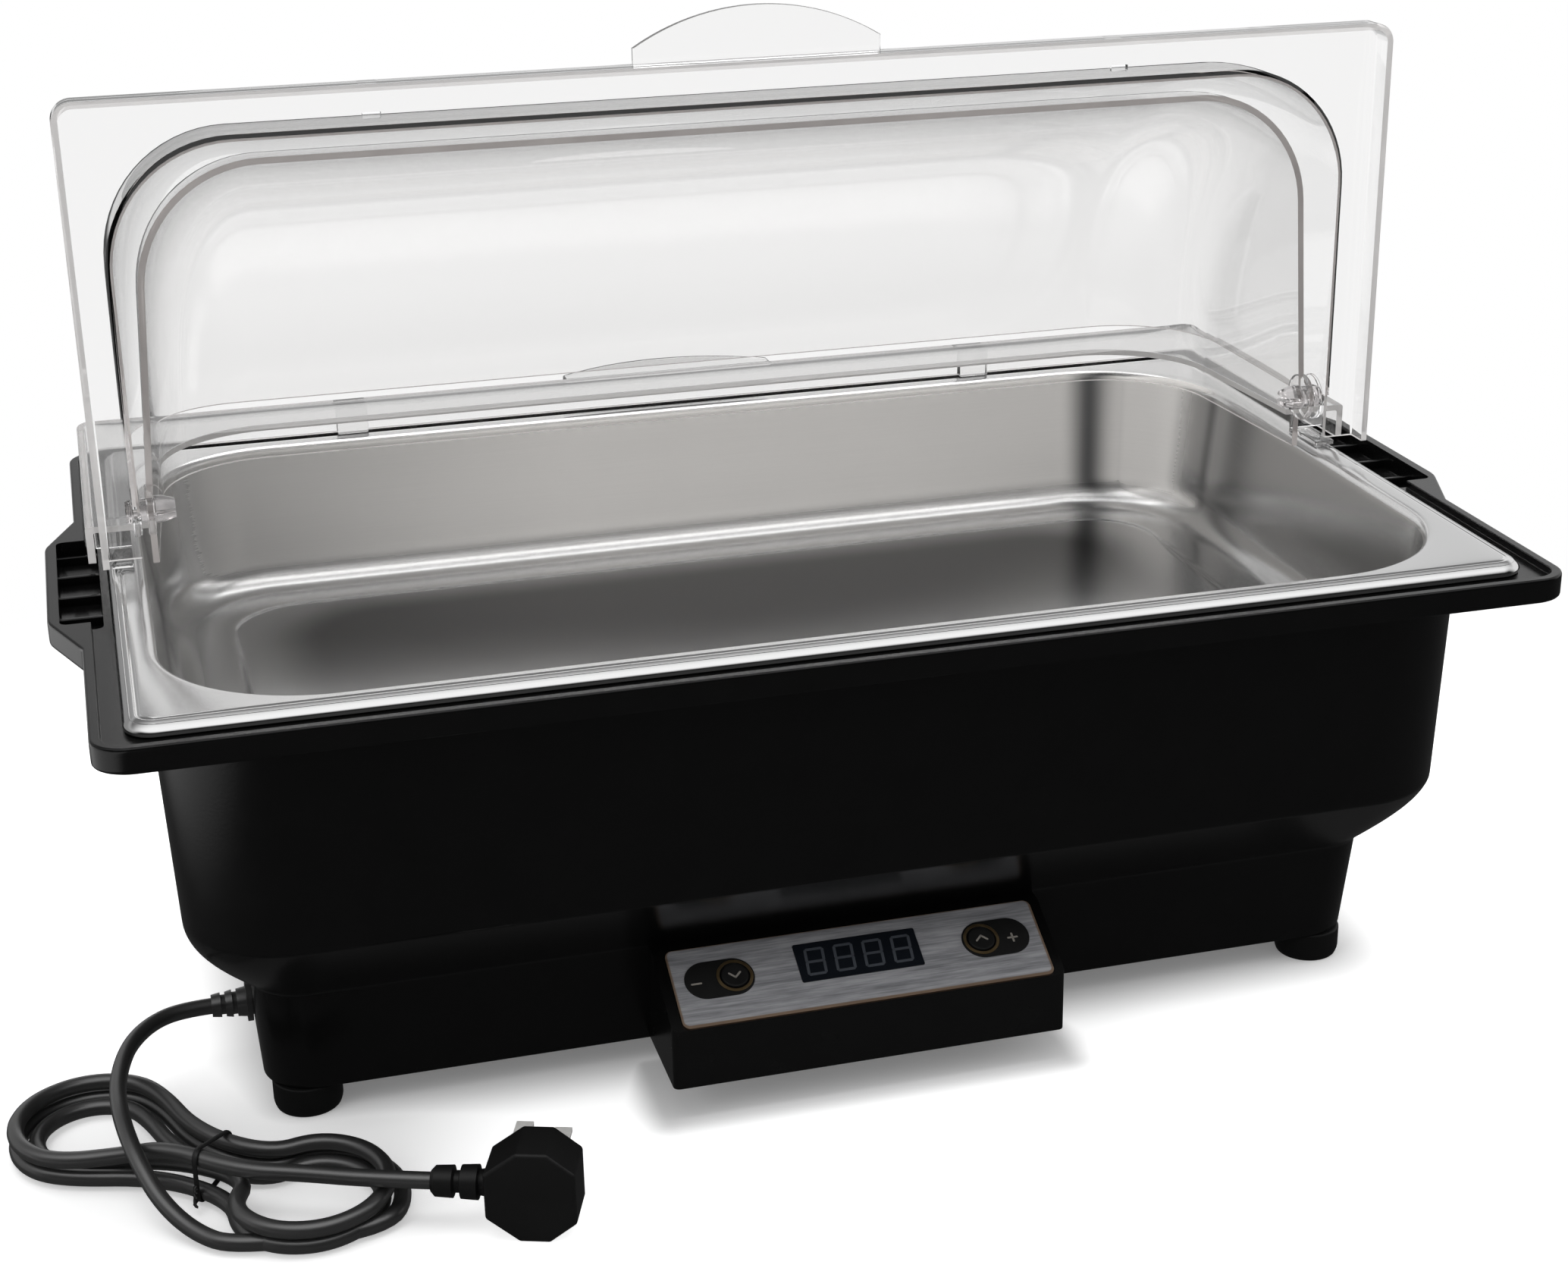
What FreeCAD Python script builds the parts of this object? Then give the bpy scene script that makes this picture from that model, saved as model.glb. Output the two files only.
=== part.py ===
import FreeCAD, Part
import math
import os
import Sketcher
from FreeCAD import Placement, Rotation, Vector

# Electric chafing dish: a moulded base with a stepped water bath and heater, a full-size
# food pan, a two-piece roll-top cover and a digital control box, with its mains cord.
# Millimetres, +Z up. The x and y origin is the centre of the footprint without the cord,
# and z = 0 is the floor under the rubber feet. +Y points away from the control box.

os.makedirs("parts", exist_ok=True)
doc = FreeCAD.newDocument("chafing_dish")

# Driving sizes
SIZES = [
    # Food pan, a standard full-size 530 x 325 pan, 65 deep
    ("pan_length", "530"), ("pan_width", "325"), ("pan_depth", "65"), ("pan_top", "190.8"),
    ("pan_sheet", "0.8"), ("pan_roll", "5.1"), ("pan_rim_corner", "11"),
    ("pan_flange_x", "15"), ("pan_flange_y", "12.5"), ("pan_mouth_corner", "60"),
    ("pan_draft", "5"), ("pan_bend", "3"), ("pan_floor_round", "14"),
    # Water bath under the food pan
    ("bath_gap", "1"), ("bath_sheet", "0.8"), ("bath_floor", "98"), ("bath_flange", "8"),
    ("bath_draft", "6"), ("bath_round", "12"),
    # Moulded base
    ("seat_gap", "0.3"), ("wall", "2.6"), ("rim_margin", "11.5"), ("rim_margin_y", "13"),
    ("rim_thick", "9.7"), ("rim_corner", "13"), ("lip_wide", "4"), ("lip_high", "3"),
    ("body_gap", "0.6"), ("body_corner", "42"), ("body_draft", "3.4"),
    ("facet_top", "91"), ("facet_low", "57"), ("facet_run_x", "23"), ("facet_run_y", "33"),
    ("knee_steps", "5"), ("pedestal_corner", "20"), ("pedestal_low", "12.6"),
    ("pedestal_draft_x", "1.6"), ("pedestal_draft_y", "6.6"),
    # Handle lugs at both ends
    ("lug_reach", "12"), ("lug_flat", "44"), ("lug_half", "76"),
    ("lug_well_half", "49"), ("well_inset", "8.5"), ("well_margin", "4.5"),
    ("lug_floor", "1.9"), ("lug_rib", "2.2"), ("lug_rib_high", "3.6"), ("lug_rib_pitch", "24.5"),
    ("lug_rib_first", "-32.5"), ("lug_ribs", "4"),
    # Feet and bottom cover
    ("foot_inset_x", "15.8"), ("foot_inset_y", "12.8"), ("foot_radius", "13.5"), ("foot_round", "3"),
    ("cover_thick", "2.5"), ("cover_gap", "0.3"), ("screw_radius", "1.9"), ("screw_gap", "0.08"),
    ("screw_head", "3.6"), ("screw_length", "26"), ("boss_radius", "5.5"), ("boss_high", "24"),
    ("web_thick", "3"), ("web_inset", "6"), ("vent_long", "40"), ("vent_wide", "3"),
    ("vent_pitch", "9"), ("vents", "7"), ("vent_left", "-150"), ("vent_middle", "70"),
    ("vent_right", "150"), ("screw_top", "2.2"),
    ("wire_slot_half", "22"), ("wire_slot_low", "20"), ("wire_slot_high", "34"),
    # Roll-top cover: both halves turn about one axis
    ("axis_lift", "23.7"), ("lid_wall", "2.5"), ("lid_corner", "50"),
    ("lid_inset_x", "12.5"), ("lid_inset_y", "17"), ("lid_step_x", "5.5"), ("lid_step_y", "11.5"),
    ("rear_lean", "8.5"), ("front_flange_top", "-11.5"), ("front_over_x", "1"),
    ("rear_flange_top", "-8.5"), ("rear_over_x", "6.5"), ("rear_over_y", "2.5"),
    ("flange_corner", "8"), ("front_strip", "15"), ("rear_start", "10.8"),
    ("front_skirt", "2.5"), ("rear_skirt", "3"), ("ear_radius", "10"), ("ear_proud", "0.3"),
    ("pin_radius", "3"), ("pin_gap", "0.06"), ("pin_head", "5"), ("pin_head_thick", "2.2"),
    ("pin_barb", "5.4"), ("pin_barb_long", "8"), ("pin_slot", "2"), ("pin_collar", "4.6"),
    ("tab_half", "49.5"), ("tab_side", "6"), ("front_tab", "20"), ("rear_tab", "23"),
    ("slot_x", "150"), ("slot_long", "7"), ("slot_wide", "2.6"), ("slot_off", "4"),
    ("tongue_gap", "1.5"), ("tongue_reach", "11.5"), ("tongue_thick", "2"),
    ("tongue_start", "0.6"), ("tongue_web", "21.8"), ("seat_block_half", "7"),
    ("seat_block_deep", "6"),
    # Control box, in the plane of its sloping panel
    ("slope", "27.1"), ("panel_reach", "38.5"), ("panel_front_z", "39.5"),
    ("box_half", "79"), ("box_low", "14.6"), ("box_wall", "2.5"), ("box_gap", "0.05"),
    ("box_round", "2.5"), ("plate_inset", "4.4"), ("plate_high", "36"), ("plate_thick", "1"),
    ("plate_corner", "3"), ("window_half", "24.8"), ("window_low", "12.8"),
    ("window_high", "30.6"), ("window_thick", "1.3"), ("field_half", "13.8"),
    ("field_high", "8.5"), ("field_inset", "18.6"), ("field_v", "20.4"), ("field_thick", "1.4"),
    ("trim_gap", "0.1"), ("button_inset", "24.6"), ("button_radius", "5.4"), ("button_gap", "0.3"),
    ("button_top", "2.3"), ("button_collar", "6.9"), ("button_travel", "1"),
    ("ring_inner", "6"), ("ring_outer", "7.2"), ("ring_high", "0.4"),
    ("board_depth", "7.5"), ("board_thick", "1.6"), ("board_inset", "13"), ("board_low", "4"),
    ("board_high", "33"), ("post_radius", "2.6"), ("board_screw", "1.15"),
    ("board_screw_head", "2.3"),
    # Heater under the bath and the electrics in the pedestal
    ("heater_half_x", "150"), ("heater_half_y", "62"), ("heater_thick", "3"),
    ("element_radius", "4"), ("element_half", "40"), ("element_reach", "128"),
    ("element_bend", "14"), ("element_drop", "16"), ("clamp_thick", "2"), ("clamp_wide", "12"),
    ("clamp_over", "12"), ("clamp_first", "-100"), ("clamp_pitch", "80"), ("clamps", "3"), ("stud_radius", "2"),
    ("shield_thick", "0.8"), ("shield_lift", "4"), ("shield_inset", "0.4"),
    ("cutout_x", "100"), ("cutout_radius", "9"), ("cutout_high", "9"),
    ("probe_x", "20"), ("probe_radius", "3"), ("probe_long", "26"),
    ("power_x", "-60"), ("power_half_x", "55"), ("power_half_y", "34"), ("power_lift", "8"),
    ("power_foot", "6"), ("relay_x", "3"), ("relay_half", "11"), ("relay_y", "-16"),
    ("relay_half_y", "8"), ("coil_x", "-34"), ("coil_half", "14"), ("coil_y", "-5"),
    ("coil_half_y", "17"), ("can_x", "34"), ("can_y", "12"), ("can_radius", "8"),
    ("block_high", "16"), ("terminal_inset", "37.8"), ("terminal_y", "-62"), ("terminal_half", "9"),
    ("terminal_half_y", "16"), ("terminal_high", "14"), ("terminal_hole", "2.2"),
    ("terminal_pitch", "10"), ("terminals", "3"),
    # Mains cord, its gland, tie and plug
    ("cord_radius", "3.2"), ("gland_y", "-62"), ("gland_z", "27"), ("gland_reach", "16"),
    ("gland_neck", "5.5"), ("gland_flange", "8"), ("gland_tip", "4.4"),
    ("hank_off_x", "23.2"), ("hank_off_y", "35.2"), ("hank_turn", "-43.1"),
    ("hank_step", "7.1"), ("plug_off_x", "93.1"), ("plug_off_y", "56.4"), ("lead_end", "22"),
    ("hank_lift", "6.9"), ("hank_left_far", "58"), ("hank_left_radius", "28"),
    ("hank_right_far", "43"), ("hank_right_radius", "33.5"), ("hank_last_radius", "30"),
    ("tie_radius", "0.5"), ("plug_long", "33"), ("plug_high", "36"), ("plug_thick", "20"),
    ("plug_turn", "-20.1"), ("relief_long", "20.5"), ("pin_flat_wide", "6.3"),
    ("pin_flat_thick", "1.7"), ("pin_flat_long", "15"),
]

# Sizes that follow from the ones above
DERIVED = [
    ("pan_half_x", "=pan_length / 2"), ("pan_half_y", "=pan_width / 2"),
    ("pan_mouth_x", "=pan_half_x - pan_flange_x"), ("pan_mouth_y", "=pan_half_y - pan_flange_y"),
    ("pan_floor", "=pan_top - pan_depth"), ("roll_low", "=pan_top - pan_roll"),
    ("seat_z", "=roll_low - seat_gap"),
    ("rim_half_x", "=pan_half_x + rim_margin"), ("rim_half_y", "=pan_half_y + rim_margin_y"),
    ("rim_top", "=seat_z + lip_high"), ("rim_low", "=rim_top - rim_thick"),
    ("bath_mouth_x", "=pan_mouth_x + pan_sheet + bath_gap"),
    ("bath_mouth_y", "=pan_mouth_y + pan_sheet + bath_gap"),
    ("bath_corner", "=pan_mouth_corner + pan_sheet + bath_gap"),
    ("bath_outer_x", "=bath_mouth_x + bath_sheet"), ("bath_outer_y", "=bath_mouth_y + bath_sheet"),
    ("bath_low", "=seat_z"), ("bath_top", "=seat_z + bath_sheet"),
    ("cavity_x", "=bath_outer_x + body_gap"), ("cavity_y", "=bath_outer_y + body_gap"),
    ("body_x", "=cavity_x + wall"), ("body_y", "=cavity_y + wall"),
    ("knee_x", "=body_x - body_draft"), ("knee_y", "=body_y - body_draft"),
    ("ankle_x", "=knee_x - facet_run_x"), ("ankle_y", "=knee_y - facet_run_y"),
    ("sole_x", "=ankle_x - pedestal_draft_x"), ("sole_y", "=ankle_y - pedestal_draft_y"),
    ("foot_x", "=sole_x - foot_inset_x"), ("foot_y", "=sole_y - foot_inset_y"),
    ("lug_well_inner", "=rim_half_x - well_inset"),
    ("lug_well_outer", "=rim_half_x + lug_reach - well_margin"),
    ("axis_z", "=pan_top + axis_lift"),
    ("front_half", "=pan_half_x - lid_inset_x"), ("front_radius", "=pan_half_y - lid_inset_y"),
    ("rear_half", "=front_half - lid_step_x"), ("rear_radius", "=front_radius - lid_step_y"),
    ("front_flange_half", "=pan_half_x + front_over_x"), ("front_flange_y", "=pan_half_y"),
    ("rear_flange_half", "=pan_half_x + rear_over_x"),
    ("rear_flange_y", "=pan_half_y + rear_over_y"),
    ("foot_tongue_inner", "=front_half + tongue_gap"),
    ("foot_tongue_outer", "=front_half + tongue_reach"),
    ("panel_front_y", "=-(ankle_y + panel_reach)"),
    ("plate_half", "=box_half - plate_inset"), ("board_half", "=box_half - board_inset"),
    ("field_x", "=plate_half - field_inset"), ("button_x", "=plate_half - button_inset"),
    ("terminal_x", "=-(sole_x - terminal_inset)"),
    ("hank_x", "=-(sole_x + hank_off_x)"), ("hank_y", "=-(sole_y + hank_off_y)"),
    ("cover_top", "=pedestal_low + cover_thick"),
    ("skirt_low", "=pan_top + seat_gap - axis_z"),
    ("frame_y", "=-(rear_flange_y + rear_tab - rim_half_y) / 2"),
    ("heater_top", "=bath_floor"), ("heater_low", "=heater_top - heater_thick"),
    ("hank_low", "=cord_radius + 2 * tie_radius"), ("hank_mid", "=hank_low + hank_lift"),
    ("hank_high", "=hank_mid + hank_lift"),
]

sheet = doc.addObject("Spreadsheet::Sheet", "sizes")
sheet.Label = "sizes"
for row, (alias, text) in enumerate(SIZES + DERIVED, start=1):
    sheet.set("A%d" % row, alias)
    sheet.set("B%d" % row, text)
    sheet.setAlias("B%d" % row, alias)
doc.recompute()


def size(alias):
    """The number behind one alias of the sheet."""
    return float(getattr(sheet, alias))


nodes = []


def keep(item, label, place=None):
    """Names a finished sub-part and puts it in the frame of the whole."""
    item.Label = label
    base = place if place else Placement()
    item.Placement = Placement(Vector(0, size("frame_y"), 0), Rotation()).multiply(base)
    nodes.append(item)
    return item


def new_body(name):
    return doc.addObject("PartDesign::Body", name)


def sketch_on(body, name, role="XY_Plane", level=None):
    """An empty sketch on one of the body's own origin planes, at a bound distance."""
    sketch = body.newObject("Sketcher::SketchObject", name)
    plane = [item for item in body.Origin.OriginFeatures if item.Role == role][0]
    sketch.AttachmentSupport = [(plane, "")]
    sketch.MapMode = "FlatFace"
    if level:
        sketch.setExpression("AttachmentOffset.Base.z", level)
    return sketch


def bound(alias):
    return "sizes." + alias


def rounded_rectangle(sketch, half_x, half_y, corner, grow=0.0, grow_y=None, grow_corner=None):
    """A rectangle with round corners about the origin, driven by three aliases."""
    grow_y = grow if grow_y is None else grow_y
    grow_corner = grow if grow_corner is None else grow_corner
    hx = size(half_x) + grow
    hy = size(half_y) + grow_y
    radius = size(corner) + grow_corner
    ix = hx - radius
    iy = hy - radius
    up = Vector(0, 0, 1)
    lines = [((-ix, -hy), (ix, -hy)), ((hx, -iy), (hx, iy)), ((ix, hy), (-ix, hy)),
             ((-hx, iy), (-hx, -iy))]
    for start, end in lines:
        sketch.addGeometry(Part.LineSegment(Vector(*start, 0), Vector(*end, 0)), False)
    centres = [(ix, -iy), (ix, iy), (-ix, iy), (-ix, -iy)]
    for turn, (cx, cy) in enumerate(centres):
        circle = Part.Circle(Vector(cx, cy, 0), up, radius)
        first = math.radians(90 * turn - 90)
        sketch.addGeometry(Part.ArcOfCircle(circle, first, first + math.pi / 2), False)
    for side in range(4):
        sketch.addConstraint(Sketcher.Constraint("Tangent", side, 2, 4 + side, 1))
        sketch.addConstraint(Sketcher.Constraint("Tangent", 4 + side, 2, (side + 1) % 4, 1))
    for side, kind in enumerate(("Horizontal", "Vertical", "Horizontal", "Vertical")):
        sketch.addConstraint(Sketcher.Constraint(kind, side))
    for arc in (5, 6, 7):
        sketch.addConstraint(Sketcher.Constraint("Equal", 4, arc))
    right = sketch.addConstraint(Sketcher.Constraint("DistanceX", -1, 1, 1, 1, hx))
    left = sketch.addConstraint(Sketcher.Constraint("DistanceX", 3, 1, -1, 1, hx))
    back = sketch.addConstraint(Sketcher.Constraint("DistanceY", -1, 1, 2, 1, hy))
    front = sketch.addConstraint(Sketcher.Constraint("DistanceY", 0, 1, -1, 1, hy))
    rounding = sketch.addConstraint(Sketcher.Constraint("Radius", 4, radius))
    for index, alias, extra in ((right, half_x, grow), (left, half_x, grow),
                                (back, half_y, grow_y), (front, half_y, grow_y),
                                (rounding, corner, grow_corner)):
        text = bound(alias) + " * 1 mm + (%.4f mm)" % extra
        sketch.setExpression("Constraints[%d]" % index, text)
    return sketch


def outline(sketch, corners):
    """A closed outline from (x, y, corner radius) points, with round corners as arcs."""
    count = len(corners)
    tangents = []
    for index, (x, y, radius) in enumerate(corners):
        here = Vector(x, y, 0)
        before = Vector(*corners[index - 1][:2], 0) - here
        after = Vector(*corners[(index + 1) % count][:2], 0) - here
        if radius <= 0:
            tangents.append((here, None, here))
            continue
        before.normalize()
        after.normalize()
        half = before.getAngle(after) / 2
        reach = radius / math.tan(half)
        middle = before + after
        middle.normalize()
        centre = here + middle * (radius / math.sin(half))
        tangents.append((here + before * reach, centre - middle * radius, here + after * reach))
    for index, (start, bulge, end) in enumerate(tangents):
        if bulge is not None:
            sketch.addGeometry(Part.Arc(start, bulge, end), False)
        following = tangents[(index + 1) % count][0]
        if end.distanceToPoint(following) > 1e-6:
            sketch.addGeometry(Part.LineSegment(end, following), False)
    return sketch


def circles(sketch, centres, radius):
    for x, y in centres:
        sketch.addGeometry(Part.Circle(Vector(x, y, 0), Vector(0, 0, 1), radius), False)
    return sketch


def box_outline(x_low, x_high, y_low, y_high, corner=0.0):
    return [(x_low, y_low, corner), (x_high, y_low, corner), (x_high, y_high, corner),
            (x_low, y_high, corner)]


def pad(body, sketch, length, name="Pad", both=False, down=False):
    feature = body.newObject("PartDesign::Pad", name)
    feature.Profile = sketch
    if isinstance(length, str):
        feature.setExpression("Length", length)
    else:
        feature.Length = length
    feature.Midplane = both
    feature.Reversed = down
    doc.recompute()
    return feature


def pocket(body, sketch, length, name="Pocket", both=False, up=False):
    """Cuts along minus the sketch's normal, or along it when up is set."""
    before = body.Shape.Volume
    feature = body.newObject("PartDesign::Pocket", name)
    feature.Profile = sketch
    if isinstance(length, str):
        feature.setExpression("Length", length)
    else:
        feature.Length = length
    feature.Midplane = both
    feature.Reversed = up
    doc.recompute()
    if not body.Shape.Volume < before - 1e-3:
        raise ValueError("cut removed nothing: " + body.Name + " " + name)
    return feature


def loft(body, sections, name, cut=False):
    kind = "PartDesign::SubtractiveLoft" if cut else "PartDesign::AdditiveLoft"
    before = body.Shape.Volume if cut else 0.0
    feature = body.newObject(kind, name)
    feature.Profile = sections[0]
    feature.Sections = sections[1:]
    feature.Ruled = True
    doc.recompute()
    if cut and not body.Shape.Volume < before - 1e-3:
        raise ValueError("cut removed nothing: " + name)
    return feature


def edges_at(feature, z, inside=None, tolerance=0.02):
    """Names of the level edges of a feature at one height, inside two half widths if given."""
    found = []
    for index, edge in enumerate(feature.Shape.Edges, start=1):
        box = edge.BoundBox
        if abs(box.ZMin - z) > tolerance or abs(box.ZMax - z) > tolerance:
            continue
        middle = edge.valueAt((edge.FirstParameter + edge.LastParameter) / 2)
        if inside is not None and abs(middle.x) > inside[0]:
            continue
        if inside is not None and abs(middle.y) > inside[1]:
            continue
        found.append("Edge%d" % index)
    return found


def fillet(body, base, names, radius, name="Fillet"):
    feature = body.newObject("PartDesign::Fillet", name)
    feature.Base = (base, names)
    if isinstance(radius, str):
        feature.setExpression("Radius", radius)
    else:
        feature.Radius = radius
    doc.recompute()
    if "Invalid" in feature.State or not feature.Shape.isValid():
        raise ValueError("rounding failed: " + body.Name + " " + name)
    return feature


def revolve(body, sketch, angle=360.0, name="Revolution", axis="H_Axis"):
    feature = body.newObject("PartDesign::Revolution", name)
    feature.Profile = sketch
    feature.ReferenceAxis = (sketch, [axis])
    feature.Angle = angle
    doc.recompute()
    return feature


def solid_feature(shape, label, place=None):
    item = doc.addObject("Part::Feature", label)
    item.Shape = shape
    return keep(item, label, place)


# Base


def mirrored_pairs(x, y):
    return [(sx * x, sy * y) for sx in (-1, 1) for sy in (-1, 1)]


def tub_sections(body, kind, grow, lift, overrun):
    """Level outlines of the tub: pedestal, elliptical knee at the ends, straight at the sides."""
    turn = size("pedestal_corner") - size("body_corner")
    rows = [(size("pedestal_low") - overrun, size("knee_x") - size("sole_x"),
             size("knee_y") - size("sole_y"), turn)]
    steps = int(size("knee_steps"))
    for step in range(steps, -1, -1):
        share = step / steps
        level = size("facet_top") + lift - share * (size("facet_top") - size("facet_low"))
        run_x = size("facet_run_x") * (1 - math.cos(share * math.pi / 2))
        rows.append((level, run_x, share * size("facet_run_y"), share * turn))
    rows.append((size("rim_low") + overrun, -size("body_draft"), -size("body_draft"), 0.0))
    sections = []
    for index, (level, run_x, run_y, round_more) in enumerate(rows):
        sketch = sketch_on(body, "%s_level_%d" % (kind, index))
        sketch.AttachmentOffset = Placement(Vector(0, 0, level), Rotation())
        rounded_rectangle(sketch, "knee_x", "knee_y", "body_corner", grow - run_x,
                          grow - run_y, grow + round_more)
        sections.append(sketch)
    return sections


def make_base_shell():
    """Tapered tub with a sloping knee, a pedestal, a rim with lip, and two ribbed lugs."""
    body = new_body("base_shell")
    loft(body, tub_sections(body, "outer", 0.0, 0.0, 0.0), "Tub")
    rim_sketch = sketch_on(body, "rim_outline", level=bound("rim_low"))
    rounded_rectangle(rim_sketch, "rim_half_x", "rim_half_y", "rim_corner")
    pad(body, rim_sketch, bound("rim_thick"), "Rim")
    lugs = sketch_on(body, "lug_outlines", level=bound("rim_low"))
    for side in (-1, 1):
        inner = side * (size("rim_half_x") - size("lip_wide"))
        edge = side * size("rim_half_x")
        reach = side * (size("rim_half_x") + size("lug_reach"))
        outline(lugs, [(inner, -size("lug_half"), 0), (edge, -size("lug_half"), 0),
                       (reach, -size("lug_flat"), 9), (reach, size("lug_flat"), 9),
                       (edge, size("lug_half"), 0), (inner, size("lug_half"), 0)])
    rim = pad(body, lugs, bound("rim_thick"), "Lugs")
    fillet(body, rim, edges_at(rim, size("rim_top")), 1.2, "LipRound")
    seat = sketch_on(body, "seat_outline", level=bound("rim_top"))
    rounded_rectangle(seat, "rim_half_x", "rim_half_y", "rim_corner", -size("lip_wide"))
    pocket(body, seat, bound("lip_high"), "Seat")
    mouth = sketch_on(body, "mouth_outline", level=bound("rim_top"))
    rounded_rectangle(mouth, "cavity_x", "cavity_y", "bath_corner")
    pocket(body, mouth, size("rim_thick") + 3, "Mouth")
    lift = size("wall") * (math.sqrt(2) - 1)
    loft(body, tub_sections(body, "inner", -size("wall"), lift, 1.0), "Cavity", cut=True)
    wells = sketch_on(body, "lug_wells", level=bound("rim_top"))
    ribs = sketch_on(body, "lug_ribs", level=bound("rim_low"))
    for side in (-1, 1):
        low, high = sorted((side * size("lug_well_inner"), side * size("lug_well_outer")))
        half = size("lug_well_half")
        outline(wells, box_outline(low, high, -half, half, 3))
        for index in range(int(size("lug_ribs"))):
            y = size("lug_rib_first") + index * size("lug_rib_pitch")
            outline(ribs, box_outline(low - 0.5, high + 0.5, y, y + size("lug_rib")))
    pocket(body, wells, size("rim_thick") - size("lug_floor"), "LugWells")
    pad(body, ribs, size("lug_floor") + size("lug_rib_high"), "LugRibs")
    start = bound("cover_top")
    post = sketch_on(body, "boss_outline", level=start)
    circles(post, mirrored_pairs(size("foot_x"), size("foot_y")), size("boss_radius"))
    pad(body, post, bound("boss_high"), "Bosses")
    reach_x = size("sole_x") - size("wall") / 2
    reach_y = size("sole_y") - size("wall") / 2
    half = size("web_thick") / 2
    webs_x = sketch_on(body, "webs_x", level=start)
    webs_y = sketch_on(body, "webs_y", level=start)
    for sx, sy in mirrored_pairs(1, 1):
        x, y = sx * size("foot_x"), sy * size("foot_y")
        low, high = sorted((x, sx * reach_x))
        outline(webs_x, box_outline(low, high, y - half, y + half))
        low, high = sorted((y, sy * reach_y))
        flat_x = x - sx * size("web_inset")
        outline(webs_y, box_outline(flat_x - half, flat_x + half, low, high))
    pad(body, webs_x, bound("boss_high"), "WebsX")
    pad(body, webs_y, bound("boss_high"), "WebsY")
    holes = sketch_on(body, "boss_holes", level=start)
    circles(holes, mirrored_pairs(size("foot_x"), size("foot_y")),
            size("screw_radius") + size("screw_gap"))
    pocket(body, holes, size("boss_high") - 2, "BossHoles", up=True)
    gland = sketch_on(body, "gland_hole", "YZ_Plane")
    circles(gland, [(size("gland_y"), size("gland_z"))], size("gland_neck") + 0.1)
    gland.AttachmentOffset = Placement(Vector(0, 0, -size("body_x")), Rotation())
    pocket(body, gland, size("body_x") - size("sole_x") + 2 * size("wall") + 2, "GlandHole", up=True)
    wires = sketch_on(body, "wire_slot", "XZ_Plane")
    outline(wires, box_outline(-size("wire_slot_half"), size("wire_slot_half"),
                               size("wire_slot_low"), size("wire_slot_high"), 4))
    wires.AttachmentOffset = Placement(Vector(0, 0, size("ankle_y") + 4), Rotation())
    pocket(body, wires, size("pedestal_draft_y") + size("wall") + 8, "WireSlot")
    return keep(body, "base_shell")


def make_bottom_cover():
    """Plate that closes the pedestal, with cooling slots and the screw holes."""
    body = new_body("bottom_cover")
    plate = sketch_on(body, "plate", level=bound("pedestal_low"))
    rounded_rectangle(plate, "sole_x", "sole_y", "pedestal_corner",
                      -size("wall") - size("cover_gap"))
    pad(body, plate, bound("cover_thick"), "Plate")
    holes = sketch_on(body, "holes", level=bound("cover_top"))
    circles(holes, mirrored_pairs(size("foot_x"), size("foot_y")),
            size("screw_radius") + size("screw_gap"))
    pocket(body, holes, bound("cover_thick"), "Holes")
    slots = sketch_on(body, "cooling_slots", level=bound("cover_top"))
    for index in range(int(size("vents"))):
        y = (index - (size("vents") - 1) / 2) * size("vent_pitch")
        for x in (size("vent_left"), size("vent_middle"), size("vent_right")):
            outline(slots, box_outline(x - size("vent_long") / 2, x + size("vent_long") / 2,
                                       y - size("vent_wide") / 2, y + size("vent_wide") / 2))
    pocket(body, slots, bound("cover_thick"), "Slots")
    return keep(body, "bottom_cover")


def make_foot(label, x, y):
    """Rubber foot with a rounded tread and a sunk screw hole."""
    body = new_body(label)
    half = sketch_on(body, "section", "XZ_Plane")
    hole = size("screw_radius") + size("screw_gap")
    sink = size("pin_head") - 0.6
    top = size("pedestal_low")
    rest = size("screw_head") + size("screw_top")
    outline(half, [(hole, rest, 0), (sink, rest, 0),
                   (sink, 0, 0), (size("foot_radius") - 1, 0, size("foot_round")),
                   (size("foot_radius"), top, 0), (hole, top, 0)])
    revolve(body, half, axis="V_Axis")
    return keep(body, label, Placement(Vector(x, y, 0), Rotation()))


def screw(x, y, z, head_radius, head_high, shank_radius, shank_long):
    """A pan-head screw standing with its head down at height z."""
    head = Part.makeCylinder(head_radius, head_high, Vector(x, y, z))
    shank = Part.makeCylinder(shank_radius, shank_long, Vector(x, y, z + head_high))
    return head.fuse(shank).removeSplitter()


def make_base_screws():
    screws = [screw(x, y, size("screw_head"), size("pin_head") - 0.9, size("screw_top"),
                    size("screw_radius"), size("screw_length"))
              for x, y in mirrored_pairs(size("foot_x"), size("foot_y"))]
    return solid_feature(Part.makeCompound(screws), "base_screws")


# Pans


def make_bath():
    """Pressed water bath: a flange on the base's seat and a tapered well with a round floor."""
    body = new_body("water_bath")
    top = size("bath_top")
    rim = sketch_on(body, "flange", level=bound("bath_low"))
    rounded_rectangle(rim, "bath_outer_x", "bath_outer_y", "bath_corner", size("bath_flange"))
    pad(body, rim, bound("bath_sheet"), "Flange")
    floor = size("bath_floor")
    sheet_thick = size("bath_sheet")
    for kind, low, inset, cut in (("outer", floor, 0.0, False),
                                  ("inner", floor + sheet_thick, sheet_thick, True)):
        sections = []
        for name, level, shrink in (("low", low, size("bath_draft")), ("high", top, 0.0)):
            sketch = sketch_on(body, kind + "_" + name)
            sketch.AttachmentOffset = Placement(Vector(0, 0, level), Rotation())
            sections.append(rounded_rectangle(sketch, "bath_outer_x", "bath_outer_y",
                                              "bath_corner", -inset - shrink))
        well = loft(body, sections, "Well_" + kind, cut=cut)
    well = fillet(body, well, edges_at(well, floor + sheet_thick), bound("bath_round"), "Inside")
    fillet(body, well, edges_at(well, floor), size("bath_round") + sheet_thick, "Outside")
    return keep(body, "water_bath")


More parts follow.
